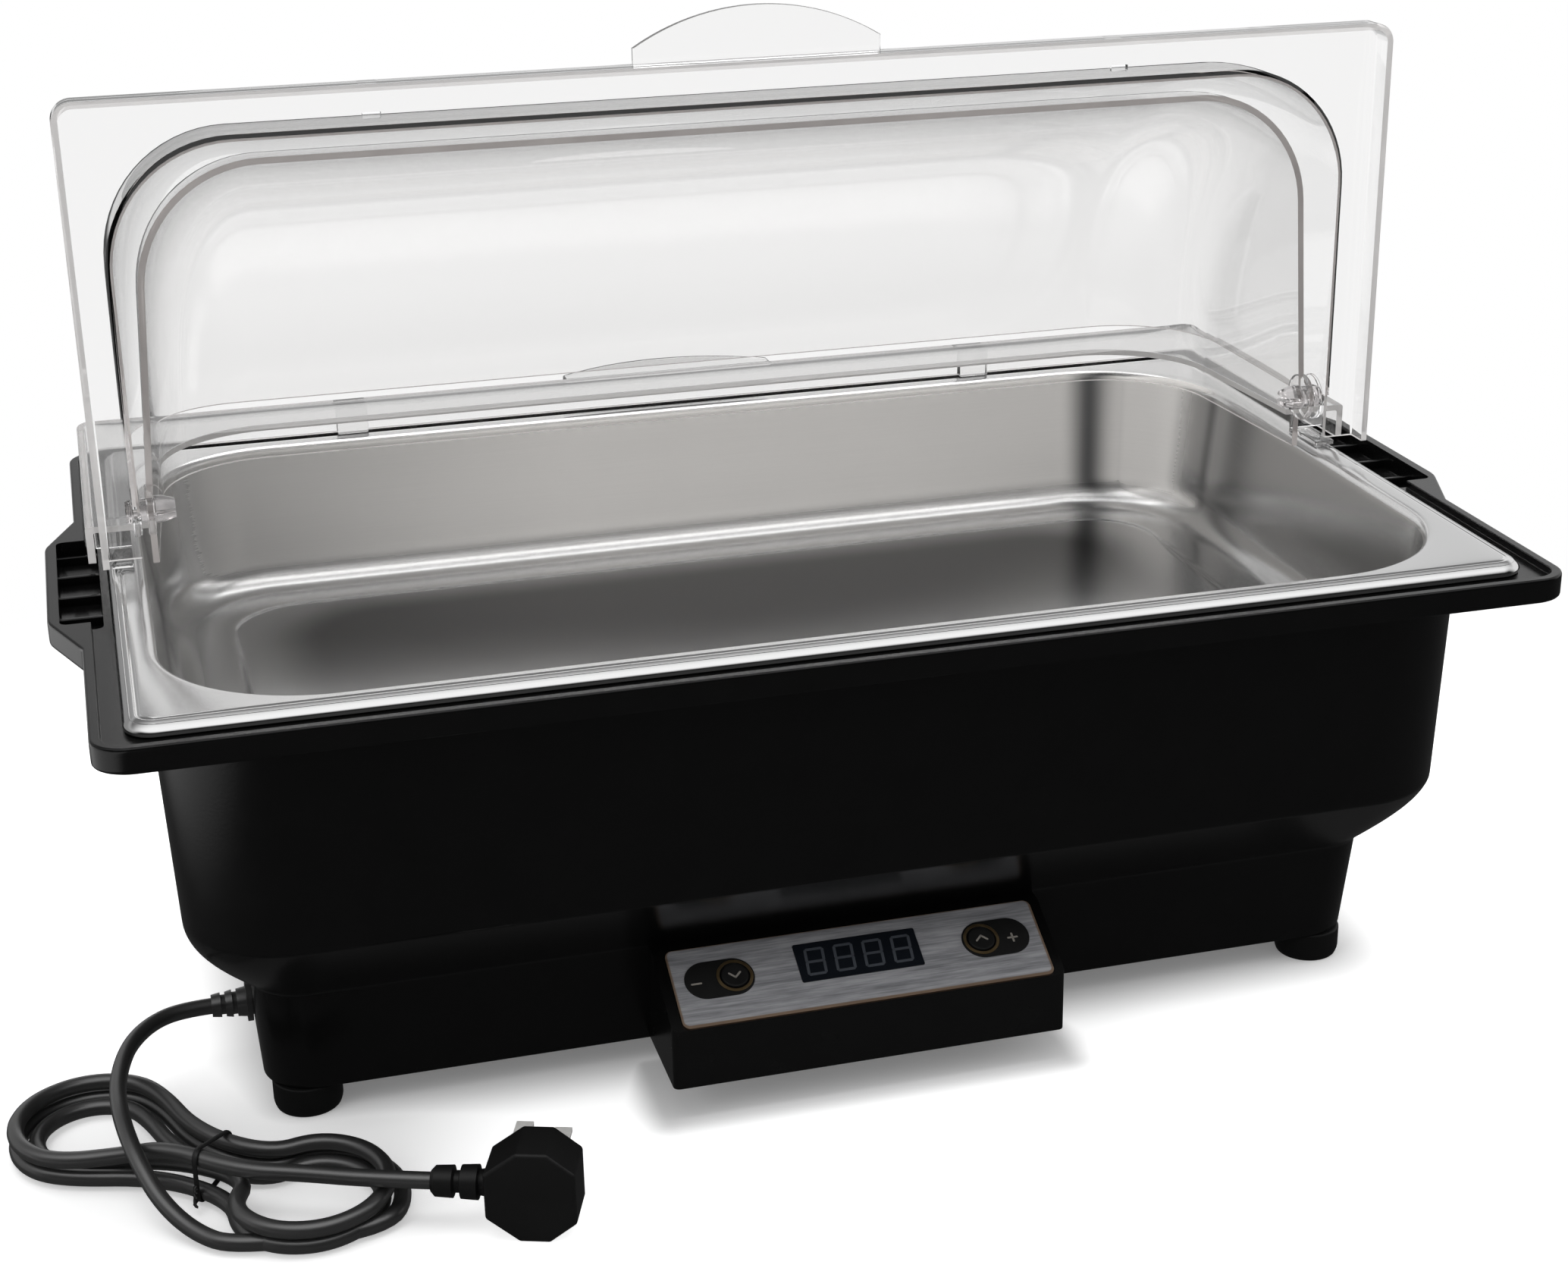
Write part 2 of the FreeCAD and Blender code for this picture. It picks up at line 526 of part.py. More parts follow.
def make_food_pan():
    """Full-size pan: rolled rim, drafted walls, bent mouth and a flat floor."""
    body = new_body("food_pan")
    top = size("pan_top")
    sheet_thick = size("pan_sheet")
    rim = sketch_on(body, "rim", level=bound("roll_low"))
    rounded_rectangle(rim, "pan_half_x", "pan_half_y", "pan_rim_corner")
    rim_pad = pad(body, rim, bound("pan_roll"), "Rim")
    fillet(body, rim_pad, edges_at(rim_pad, top), 1.7, "Roll")
    under = sketch_on(body, "under", level=bound("roll_low"))
    rounded_rectangle(under, "pan_half_x", "pan_half_y", "pan_rim_corner", -sheet_thick)
    pocket(body, under, size("pan_roll") - sheet_thick, "Under", up=True)
    levels = (("low", size("pan_floor"), size("pan_draft")), ("high", top - sheet_thick / 2, 0.0))
    sections = []
    for name, level, shrink in levels:
        sketch = sketch_on(body, "outer_" + name)
        sketch.AttachmentOffset = Placement(Vector(0, 0, level), Rotation())
        sections.append(rounded_rectangle(sketch, "pan_mouth_x", "pan_mouth_y",
                                          "pan_mouth_corner", sheet_thick - shrink))
    tub = loft(body, sections, "Tub")
    under_edge = edges_at(tub, top - sheet_thick, inside=(size("pan_mouth_x") + 2,
                                                          size("pan_mouth_y") + 2))
    fillet(body, tub, under_edge, bound("pan_bend"), "UnderBend")
    sections = []
    for name, level, shrink in (("low", size("pan_floor") + sheet_thick, size("pan_draft")),
                                ("high", top, 0.0)):
        sketch = sketch_on(body, "inner_" + name)
        sketch.AttachmentOffset = Placement(Vector(0, 0, level), Rotation())
        sections.append(rounded_rectangle(sketch, "pan_mouth_x", "pan_mouth_y",
                                          "pan_mouth_corner", -shrink))
    well = loft(body, sections, "Well", cut=True)
    well = fillet(body, well, edges_at(well, size("pan_floor") + sheet_thick),
                  bound("pan_floor_round"), "FloorInside")
    well = fillet(body, well, edges_at(well, size("pan_floor")),
                  size("pan_floor_round") + sheet_thick, "FloorOutside")
    mouth = edges_at(well, top, inside=(size("pan_mouth_x") + 1, size("pan_mouth_y") + 1))
    fillet(body, well, mouth, size("pan_bend") + sheet_thick, "MouthBend")
    return keep(body, "food_pan")


# Roll-top cover


def arch_corners(half, top_half, radius, corner, wall=0.0, foot=0.0):
    """Half section of a dome: feet near the axis line, sloping sides and round shoulders."""
    lean = foot * (half - top_half) / radius
    return [(-half + wall + lean, foot, 0), (-top_half + wall, radius - wall, corner - wall),
            (top_half - wall, radius - wall, corner - wall), (half - wall - lean, foot, 0)]


def open_path(corners):
    """Edges along (x, y, corner radius) points, each bend a tangent arc."""
    edges = []
    here = Vector(*corners[0][:2], 0)
    for index in range(1, len(corners) - 1):
        x, y, radius = corners[index]
        apex = Vector(x, y, 0)
        before = Vector(*corners[index - 1][:2], 0) - apex
        after = Vector(*corners[index + 1][:2], 0) - apex
        before.normalize()
        after.normalize()
        half = before.getAngle(after) / 2
        reach = radius / math.tan(half)
        middle = before + after
        middle.normalize()
        bulge = apex + middle * (radius / math.sin(half) - radius)
        edges.append(Part.LineSegment(here, apex + before * reach))
        edges.append(Part.Arc(apex + before * reach, bulge, apex + after * reach))
        here = apex + after * reach
    edges.append(Part.LineSegment(here, Vector(*corners[-1][:2], 0)))
    return edges


def thin_arch(sketch, half, top_half, radius, corner, wall, flip=1, foot=0.0):
    """The dome's wall as a closed thin outline; flip -1 turns it to the other side."""
    outer = arch_corners(half, top_half, radius, corner, 0.0, foot)
    inner = arch_corners(half, top_half, radius, corner, wall, foot)
    for corners in (outer, inner):
        turned = [(x, flip * y, r) for x, y, r in corners]
        for edge in open_path(turned):
            sketch.addGeometry(edge, False)
    for end in (0, -1):
        sketch.addGeometry(Part.LineSegment(Vector(outer[end][0], flip * foot, 0),
                                            Vector(inner[end][0], flip * foot, 0)), False)
    return sketch


def plate_outline(flange_half, flange_y, start, corner, arch, wall):
    """Outline of the flange: outer edge, two open ends and the dome's own line inside."""
    half, top_half, radius, round_corner = arch
    middle = wall / 2
    points = [(flange_half, start, 0), (flange_half, -flange_y, corner),
              (-flange_half, -flange_y, corner), (-flange_half, start, 0)]
    foot = half - middle if start >= 0 else half - middle + start * (half - top_half) / radius
    points.append((-foot, start, 0))
    if start > 0:
        points.append((-half + middle, 0, 0))
    points.append((-top_half + middle, -radius + middle, round_corner - middle))
    points.append((top_half - middle, -radius + middle, round_corner - middle))
    if start > 0:
        points.append((half - middle, 0, 0))
    points.append((foot, start, 0))
    return points


def skirt_outline(flange_half, flange_y, start, corner, thick):
    inner = flange_half - thick
    return [(flange_half, start, 0), (flange_half, -flange_y, corner),
            (-flange_half, -flange_y, corner), (-flange_half, start, 0), (-inner, start, 0),
            (-inner, -flange_y + thick, corner - thick), (inner, -flange_y + thick, corner - thick),
            (inner, start, 0)]


def add_tab(body, flange_y, depth, level):
    """Half-moon finger tab on the flange's long edge."""
    half = size("tab_half")
    side = size("tab_side")
    root = -flange_y + 1
    sketch = sketch_on(body, "tab")
    sketch.AttachmentOffset = Placement(Vector(0, 0, level - size("lid_wall")), Rotation())
    corners = [Vector(-half, root, 0), Vector(-half, -flange_y - side, 0),
               Vector(0, -flange_y - depth, 0), Vector(half, -flange_y - side, 0),
               Vector(half, root, 0)]
    sketch.addGeometry(Part.LineSegment(corners[0], corners[1]), False)
    sketch.addGeometry(Part.Arc(corners[1], corners[2], corners[3]), False)
    sketch.addGeometry(Part.LineSegment(corners[3], corners[4]), False)
    sketch.addGeometry(Part.LineSegment(corners[4], corners[0]), False)
    pad(body, sketch, bound("lid_wall"), "Tab")


def add_ears(body, half, hole):
    """Round hinge ears in the plane of the end walls, each with the bore of its pin."""
    proud = size("ear_proud")
    thick = size("lid_wall") + 2 * proud
    for side in (-1, 1):
        face = half + proud if side > 0 else -half - proud + thick
        ear = sketch_on(body, "ear", "YZ_Plane")
        ear.AttachmentOffset = Placement(Vector(0, 0, face), Rotation())
        circles(ear, [(0, 0)], size("ear_radius"))
        pad(body, ear, thick, "Ear", down=True)
        bore = sketch_on(body, "bore", "YZ_Plane")
        bore.AttachmentOffset = Placement(Vector(0, 0, face + 0.5), Rotation())
        circles(bore, [(0, 0)], hole)
        pocket(body, bore, thick + 1, "Bore")


def make_lid_half(label, arch, flange, strip, skirt, tab, wall_low, hole):
    """One half of the cover, closed, towards -Y: a quarter turn of its arch and its flange."""
    body = new_body(label)
    wall = size("lid_wall")
    flange_top, flange_half, flange_y = flange
    dome = thin_arch(sketch_on(body, "arch", "XZ_Plane"), *arch, wall,
                     foot=size("ear_radius") / 2)
    revolve(body, dome, 90.0, "Dome")
    root = thin_arch(sketch_on(body, "root"), *arch, wall, flip=-1)
    pad(body, root, -wall_low, "Root", down=True)
    plate = sketch_on(body, "flange")
    plate.AttachmentOffset = Placement(Vector(0, 0, flange_top), Rotation())
    outline(plate, plate_outline(flange_half, flange_y, strip[0], size("flange_corner"), arch, wall))
    pad(body, plate, bound("lid_wall"), "Flange", down=True)
    edge = sketch_on(body, "skirt")
    edge.AttachmentOffset = Placement(Vector(0, 0, flange_top), Rotation())
    outline(edge, skirt_outline(flange_half, flange_y, strip[1], size("flange_corner"), skirt))
    pad(body, edge, flange_top - size("skirt_low"), "Skirt", down=True)
    add_tab(body, flange_y, tab, flange_top)
    add_ears(body, arch[0], hole)
    return body


def make_lid_front():
    arch = (size("front_half"), size("front_half"), size("front_radius"), size("lid_corner"))
    flange = (size("front_flange_top"), size("front_flange_half"), size("front_flange_y"))
    low = size("front_flange_top") - size("lid_wall")
    body = make_lid_half("lid_front", arch, flange, (size("front_strip"), 0.0),
                         size("front_skirt"), size("front_tab"), low,
                         size("pin_radius") + size("pin_gap"))
    slots = sketch_on(body, "slots")
    slots.AttachmentOffset = Placement(Vector(0, 0, size("front_flange_top") + 1), Rotation())
    y = -size("front_radius") - size("slot_off")
    for side in (-1, 1):
        x = side * size("slot_x")
        outline(slots, box_outline(x - size("slot_long") / 2, x + size("slot_long") / 2,
                                   y - size("slot_wide") / 2, y + size("slot_wide") / 2))
    pocket(body, slots, size("lid_wall") + 2, "Slots")
    place = Placement(Vector(0, 0, size("axis_z")), Rotation(Vector(1, 0, 0), -90))
    return keep(body, "lid_front", place)


def make_lid_rear():
    arch = (size("rear_half"), size("rear_half") - size("rear_lean"), size("rear_radius"),
            size("lid_corner"))
    flange = (size("rear_flange_top"), size("rear_flange_half"), size("rear_flange_y"))
    start = -size("rear_start")
    body = make_lid_half("lid_rear", arch, flange, (start, start), size("rear_skirt"),
                         size("rear_tab"), size("skirt_low"), size("pin_radius"))
    low = size("skirt_low")
    under = size("rear_flange_top") - size("lid_wall")
    webs = sketch_on(body, "webs")
    webs.AttachmentOffset = Placement(Vector(0, 0, low), Rotation())
    tongues = sketch_on(body, "tongues")
    tongues.AttachmentOffset = Placement(Vector(0, 0, low), Rotation())
    web_end = -size("tongue_web") - size("lid_wall")
    for side in (-1, 1):
        inner = side * size("foot_tongue_inner")
        outer = side * (size("rear_flange_half") - size("rear_skirt") / 2)
        x_low, x_high = sorted((inner, outer))
        outline(webs, box_outline(x_low, x_high, web_end, -size("tongue_web")))
        x_low, x_high = sorted((inner, side * size("foot_tongue_outer")))
        outline(tongues, box_outline(x_low, x_high, web_end, -size("tongue_start")))
    pad(body, webs, under - low + 1, "Webs")
    pad(body, tongues, bound("tongue_thick"), "Tongues")
    seats = sketch_on(body, "seats")
    seats.AttachmentOffset = Placement(Vector(0, 0, low), Rotation())
    edge = -size("rear_flange_y") + size("rear_skirt") / 2
    for side in (-1, 1):
        x = side * size("slot_x")
        outline(seats, box_outline(x - size("seat_block_half"), x + size("seat_block_half"),
                                   edge, edge + size("seat_block_deep")))
    pad(body, seats, under - low + 1, "Seats")
    place = Placement(Vector(0, 0, size("axis_z")), Rotation(Vector(0, 0, 1), 180))
    return keep(body, "lid_rear", place)


def make_hinge_pin(label, side):
    """Snap-in hinge pin: round head, collar between the walls, and a split barbed end."""
    body = new_body(label)
    gap = size("seat_gap")
    wall = size("lid_wall")
    proud = size("ear_proud")
    head = size("front_half") + proud + gap
    collar_out = size("front_half") - wall - proud - gap
    collar_in = size("rear_half") + proud + 0.02
    barb = size("rear_half") - wall - proud - size("pin_gap")
    end = barb - size("pin_barb_long")
    profile = [(end, 0), (end, size("pin_barb") - 1.6), (barb - 3, size("pin_barb")),
               (barb, size("pin_barb")), (barb, size("pin_radius")), (collar_in, size("pin_radius")),
               (collar_in, size("pin_collar")), (collar_out, size("pin_collar")),
               (collar_out, size("pin_radius")), (head, size("pin_radius")),
               (head, size("pin_head")), (head + size("pin_head_thick"), size("pin_head") - 0.8),
               (head + size("pin_head_thick"), 0)]
    section = sketch_on(body, "section", "XZ_Plane")
    outline(section, [(x, z, 0) for x, z in profile])
    revolve(body, section)
    slot = sketch_on(body, "slot", "XZ_Plane")
    outline(slot, box_outline(end - 1, barb - 0.5, -size("pin_slot") / 2, size("pin_slot") / 2))
    pocket(body, slot, 4 * size("pin_barb"), "Slot", both=True)
    turn = Rotation(Vector(0, 0, 1), 0 if side > 0 else 180)
    return keep(body, label, Placement(Vector(0, 0, size("axis_z")), turn))


# Control box, drawn in the plane of its sloping panel: x across, y up the slope, z outwards

PANEL = Placement(Vector(0, size("panel_front_y"), size("panel_front_z")),
                  Rotation(Vector(1, 0, 0), size("slope")))


def in_panel(y, z):
    """A point of the vertical section, in the panel's own plane."""
    local = PANEL.inverse().multVec(Vector(0, y, z))
    return (local.y, local.z)


def pedestal_front(z):
    """The front wall of the pedestal at height z."""
    share = (z - size("pedestal_low")) / (size("facet_low") - size("pedestal_low"))
    return -size("sole_y") - share * (size("ankle_y") - size("sole_y")) - size("box_gap")


def at_depth(body, name, level):
    sketch = sketch_on(body, name)
    sketch.AttachmentOffset = Placement(Vector(0, 0, level), Rotation())
    return sketch


def field_outline(side, gap=0.0):
    """The long round field of one button."""
    x = side * size("field_x")
    half = size("field_half") - gap
    high = size("field_high") - gap
    return box_outline(x - half, x + half, size("field_v") - high, size("field_v") + high,
                       high - 0.01)


def window_outline(gap=0.0):
    half = size("window_half") - gap
    return box_outline(-half, half, size("window_low") + gap, size("window_high") - gap, 0.8)


def button_centres():
    return [(-size("button_x"), size("field_v")), (size("button_x"), size("field_v"))]


def board_corners():
    inset = 5
    xs = (-size("board_half") + inset, size("board_half") - inset)
    return [(x, y) for x in xs for y in (size("board_low") + inset, size("board_high") - inset)]


def make_control_housing():
    """Hollow wedge under the panel, open towards the pedestal, with posts for its board."""
    body = new_body("control_housing")
    wall = size("box_wall")
    low = size("box_low")
    top_back = size("facet_low") - 0.6
    front = size("panel_front_y")
    slope = math.radians(size("slope"))
    run = size("plate_high") + 0.8
    crest = (front + run * math.cos(slope), size("panel_front_z") + run * math.sin(slope))
    section = [(pedestal_front(low), low), (front, low), (front, size("panel_front_z")), crest,
               (pedestal_front(top_back), top_back)]
    block = sketch_on(body, "wedge", "YZ_Plane")
    outline(block, [in_panel(y, z) + (0,) for y, z in section])
    wedge = pad(body, block, 2 * size("box_half"), "Wedge", both=True)
    upright = [("Edge%d" % index) for index, edge in enumerate(wedge.Shape.Edges, start=1)
               if edge.BoundBox.XLength < 0.01 and edge.BoundBox.ZMin < -5
               and edge.BoundBox.YMax < 14 and edge.BoundBox.ZLength > 15]
    fillet(body, wedge, upright, bound("box_round"), "Uprights")
    hollow = sketch_on(body, "hollow", "YZ_Plane")
    under_panel = [(y, size("panel_front_z") + (y - front) * math.tan(slope)
                    - wall / math.cos(slope)) for y in (front + wall, crest[0] + 1)]
    inner = [(pedestal_front(low + wall) + 5, low + wall), (front + wall, low + wall),
             *under_panel, (pedestal_front(top_back) + 5, top_back - wall - 0.6)]
    outline(hollow, [in_panel(y, z) + (0,) for y, z in inner])
    pocket(body, hollow, 2 * (size("box_half") - wall), "Hollow", both=True)
    posts = at_depth(body, "posts", -size("board_depth"))
    circles(posts, board_corners(), size("post_radius"))
    pad(body, posts, size("board_depth") - wall / 2, "Posts")
    holes = at_depth(body, "post_holes", -size("board_depth"))
    circles(holes, board_corners(), size("board_screw") + 0.05)
    pocket(body, holes, 5, "PostHoles", up=True)
    openings = at_depth(body, "openings", 1)
    outline(openings, window_outline(-0.3))
    circles(openings, button_centres(), size("button_radius") + size("button_gap"))
    pocket(body, openings, wall + 3, "Openings")
    return keep(body, "control_housing", PANEL)


def make_control_plate():
    """Thin metal plate on the slope with the window and the two button fields cut out."""
    body = new_body("control_plate")
    face = at_depth(body, "face", size("box_gap"))
    half = size("plate_half")
    outline(face, box_outline(-half, half, 0, size("plate_high"), size("plate_corner")))
    outline(face, window_outline())
    for side in (-1, 1):
        outline(face, field_outline(side))
    pad(body, face, bound("plate_thick"), "Face")
    return keep(body, "control_plate", PANEL)


def make_window():
    body = new_body("display_window")
    pane = at_depth(body, "pane", size("box_gap"))
    outline(pane, window_outline(size("trim_gap")))
    pad(body, pane, bound("window_thick"), "Pane")
    return keep(body, "display_window", PANEL)


def make_display():
    """Four-digit display block standing on the board, right behind the window."""
    body = new_body("display_module")
    block = at_depth(body, "block", -size("board_depth"))
    outline(block, window_outline(size("trim_gap")))
    pad(body, block, size("board_depth"), "Block")
    return keep(body, "display_module", PANEL)


def make_button_field(label, side):
    """Black field round one button, with the bore that guides it."""
    body = new_body(label)
    field = at_depth(body, "field", size("box_gap"))
    outline(field, field_outline(side, size("trim_gap")))
    centre = (side * size("button_x"), size("field_v"))
    circles(field, [centre], size("button_radius") + size("button_gap"))
    pad(body, field, bound("field_thick"), "Field")
    return keep(body, label, PANEL)


def make_button_ring(label, side):
    body = new_body(label)
    ring = at_depth(body, "ring", size("box_gap") + size("field_thick"))
    centre = (side * size("button_x"), size("field_v"))
    circles(ring, [centre], size("ring_outer"))
    circles(ring, [centre], size("ring_inner"))
    pad(body, ring, bound("ring_high"), "Ring")
    return keep(body, label, PANEL)


def make_button(label, side):
    """Push cap with a collar that stops under the housing wall."""
    body = new_body(label)
    travel_low = -size("box_wall") - size("seat_gap")
    section = sketch_on(body, "section", "XZ_Plane")
    cap = size("button_radius")
    collar = size("button_collar")
    outline(section, [(0, travel_low - 1.4, 0), (collar, travel_low - 1.4, 0),
                      (collar, travel_low, 0), (cap, travel_low, 0),
                      (cap, size("button_top"), 0.6), (0, size("button_top") - 0.3, 0)])
    revolve(body, section, axis="V_Axis")
    place = PANEL.multiply(Placement(Vector(side * size("button_x"), size("field_v"), 0),
                                     Rotation()))
    return keep(body, label, place)


def make_control_board():
    """Circuit board under the posts with a key switch below each button."""
    body = new_body("control_board")
    depth = size("board_depth")
    half = size("board_half")
    board = at_depth(body, "board", -depth)
    outline(board, box_outline(-half, half, size("board_low"), size("board_high"), 1.5))
    circles(board, board_corners(), size("board_screw") + 0.1)
    pad(body, board, bound("board_thick"), "Board", down=True)
    keys = at_depth(body, "keys", -depth - 0.2)
    for x, y in button_centres():
        outline(keys, box_outline(x - 3, x + 3, y - 3, y + 3, 0.4))
    rest = size("box_wall") + size("seat_gap") + 1.4
    pad(body, keys, depth + 0.2 - rest - size("button_travel") - size("seat_gap"), "Keys")
    return keep(body, "control_board", PANEL)


def make_board_screws():
    level = -size("board_depth") - size("board_thick")
    head_high = 1.2
    screws = [screw(x, y, level - head_high, size("board_screw_head"), head_high,
                    size("board_screw"), size("board_thick") + 4.5)
              for x, y in board_corners()]
    return solid_feature(Part.makeCompound(screws), "board_screws", PANEL)


# Heater and electrics


def flat_box(x_low, x_high, y_low, y_high, z_low, z_high):
    return Part.makeBox(x_high - x_low, y_high - y_low, z_high - z_low,
                        Vector(x_low, y_low, z_low))


def make_heater_plate():
    body = new_body("heater_plate")
    plate = sketch_on(body, "plate", level=bound("heater_low"))
    half_x, half_y = size("heater_half_x"), size("heater_half_y")
    outline(plate, box_outline(-half_x, half_x, -half_y, half_y, 12))
    pad(body, plate, bound("heater_thick"), "Plate")
    return keep(body, "heater_plate")


def element_level():
    return size("heater_low") - size("element_radius") - 0.02


def make_element():
    """Tubular element: two legs, a half-round bend and two ends turned down."""
    level = element_level()
    half = size("element_half")
    reach = size("element_reach")
    bend = size("element_bend")
    low = level - size("element_drop")
    path = []
    for side in (-1, 1):
        y = side * half
        foot = Vector(-reach - bend, y, low)
        heel = Vector(-reach - bend, y, level - bend)
        middle = Vector(-reach - bend * math.sqrt(0.5), y, level - bend * (1 - math.sqrt(0.5)))
        start = Vector(-reach, y, level)
        leg = Part.LineSegment(start, Vector(reach - half, y, level)).toShape()
        turn = Part.Arc(heel, middle, start).toShape()
        stub = Part.LineSegment(foot, heel).toShape()
        path.append([stub, turn, leg])
    loop = Part.Arc(Vector(reach - half, -half, level), Vector(reach, 0, level),
                    Vector(reach - half, half, level)).toShape()
    wire = Part.Wire(path[0] + [loop] + path[1][::-1])
    start = Vector(-reach - bend, -half, low)
    ring = Part.Wire(Part.makeCircle(size("element_radius"), start, Vector(0, 0, 1)))
    return solid_feature(wire.makePipeShell([ring], True, False), "heating_element")


def make_element_clamps():
    """Straps across both legs, each drawn up by two studs to the heater plate."""
    top = element_level() - size("element_radius") - 0.02
    low = top - size("clamp_thick")
    half = size("element_half") + size("clamp_over")
    straps = []
    for index in range(int(size("clamps"))):
        x = size("clamp_first") + index * size("clamp_pitch")
        strap = flat_box(x, x + size("clamp_wide"), -half, half, low, top)
        for y in (-half + 5, half - 5):
            middle = x + size("clamp_wide") / 2
            stud = Part.makeCylinder(size("stud_radius"), size("heater_low") - low + 1.5,
                                     Vector(middle, y, low - 1.5))
            strap = strap.fuse(stud)
        straps.append(strap.removeSplitter())
    return solid_feature(Part.makeCompound(straps), "element_clamps")


def make_thermal_parts():
    low = size("heater_low")
    cutout = Part.makeCylinder(size("cutout_radius"), size("cutout_high"),
                               Vector(size("cutout_x"), 0, low - size("cutout_high")))
    solid_feature(cutout, "thermal_cutout")
    radius = size("probe_radius")
    probe = Part.makeCylinder(radius, size("probe_long"),
                              Vector(size("probe_x"), 0, low - radius - 0.02), Vector(1, 0, 0))
    solid_feature(probe, "temperature_probe")


def make_heat_shield():
    """Sheet above the electrics, its long edges on the inner slopes of the tub."""
    body = new_body("heat_shield")
    level = size("facet_low") + size("shield_lift")
    inner_low = size("facet_low") + size("wall") * (math.sqrt(2) - 1)
    share = (level - inner_low) / (size("facet_top") - size("facet_low"))
    inset = -size("wall") - size("shield_inset")
    sheet_sketch = sketch_on(body, "sheet")
    sheet_sketch.AttachmentOffset = Placement(Vector(0, 0, level), Rotation())
    rounded_rectangle(sheet_sketch, "ankle_x", "ankle_y", "pedestal_corner", inset,
                      inset + share * size("facet_run_y"), -size("wall"))
    pad(body, sheet_sketch, bound("shield_thick"), "Sheet")
    return keep(body, "heat_shield")


def make_power_board():
    """Power board on four posts with its relay, transformer and capacitor."""
    body = new_body("power_board")
    level = size("cover_top") + size("power_lift")
    x, half_x, half_y = size("power_x"), size("power_half_x"), size("power_half_y")
    board = at_depth(body, "board", level)
    outline(board, box_outline(x - half_x, x + half_x, -half_y, half_y, 2))
    pad(body, board, bound("board_thick"), "Board")
    feet = at_depth(body, "feet", size("cover_top"))
    circles(feet, [(x + dx, y) for dx, y in mirrored_pairs(half_x - size("power_foot"),
                                                           half_y - size("power_foot"))], 3)
    pad(body, feet, size("power_lift") + 0.2, "Feet")
    blocks = at_depth(body, "blocks", level + size("board_thick") - 0.2)
    for kind in ("coil", "relay"):
        middle_x = x + size(kind + "_x")
        middle_y = size(kind + "_y")
        outline(blocks, box_outline(middle_x - size(kind + "_half"), middle_x + size(kind + "_half"),
                                    middle_y - size(kind + "_half_y"),
                                    middle_y + size(kind + "_half_y"), 1))
    circles(blocks, [(x + size("can_x"), size("can_y"))], size("can_radius"))
    pad(body, blocks, size("block_high") + 0.2, "Blocks")
    return keep(body, "power_board")


def make_terminal_block():
    low = size("cover_top")
    high = low + size("terminal_high")
    x, y = size("terminal_x"), size("terminal_y")
    half, half_y = size("terminal_half"), size("terminal_half_y")
    block = flat_box(x - half, x + half, y - half_y, y + half_y, low, high)
    for index in range(int(size("terminals"))):
        middle = y + (index - (size("terminals") - 1) / 2) * size("terminal_pitch")
        hole = Part.makeCylinder(size("terminal_hole"), 6, Vector(x, middle, high - 5))
        block = block.cut(hole)
    return solid_feature(block.removeSplitter(), "terminal_block")


# Mains cord


def make_gland():
    """Strain relief through the pedestal wall: inner collar, neck, flange and tapered sleeve."""
    body = new_body("cord_gland")
    wall_x = size("sole_x") + (size("gland_z") - size("pedestal_low")) / (
        size("facet_low") - size("pedestal_low")) * size("pedestal_draft_x")
    neck = size("gland_neck")
    flange = size("gland_flange")
    inner = wall_x - size("wall") - 0.5
    outer = wall_x + 0.35
    tip = wall_x + size("gland_reach")
    points = [(inner - 2, 0), (inner - 2, flange - 1), (inner, flange - 1), (inner, neck),
              (outer, neck), (outer, flange), (outer + 2.2, flange), (outer + 2.2, neck + 0.5)]
    grooves = 2
    step = (tip - outer - 2.2) / (grooves + 1)
    for index in range(1, grooves + 1):
        x = outer + 2.2 + index * step
        radius = neck + 0.5 - (neck + 0.5 - size("gland_tip")) * index / (grooves + 1)
        points += [(x - 0.9, radius), (x - 0.9, radius - 1), (x + 0.9, radius - 1), (x + 0.9, radius)]
    points += [(tip, size("gland_tip")), (tip, 0)]
    section = sketch_on(body, "section", "XZ_Plane")
    outline(section, [(x, z, 0) for x, z in points])
    revolve(body, section)
    place = Placement(Vector(0, size("gland_y"), size("gland_z")), Rotation(Vector(0, 0, 1), 180))
    return keep(body, "cord_gland", place), tip


def rounded_route(points, label, radius):
    """Straight runs joined by tangent arcs, swept by the cord's round section."""
    vectors = [Vector(*point) for point in points]
    edges = []
    here = vectors[0]
    radii = []
    for index in range(1, len(vectors) - 1):
        apex = vectors[index]
        before = vectors[index - 1] - apex
        after = vectors[index + 1] - apex
        shorter = min(before.Length, after.Length)
        before.normalize()
        after.normalize()
        half_turn = (math.pi - before.getAngle(after)) / 2
        reach = 0.45 * shorter
        bend = reach / math.tan(half_turn)
        radii.append(bend)
        middle = before + after
        middle.normalize()
        bulge = apex + middle * (bend / math.cos(half_turn) - bend)
        edges.append(Part.LineSegment(here, apex + before * reach).toShape())
        edges.append(Part.Arc(apex + before * reach, bulge, apex + after * reach).toShape())
        here = apex + after * reach
    edges.append(Part.LineSegment(here, vectors[-1]).toShape())
    wire = Part.Wire(edges)
    ring = Part.Wire(Part.makeCircle(radius, vectors[0], vectors[1] - vectors[0]))
    solid = wire.makePipeShell([ring], True, False)
    share = solid.Volume / (math.pi * radius ** 2 * wire.Length)
    print("%s: length %.1f, least radius %.1f, volume over section times length %.4f"
          % (label, wire.Length, min(radii), share))
    return solid, wire.Length


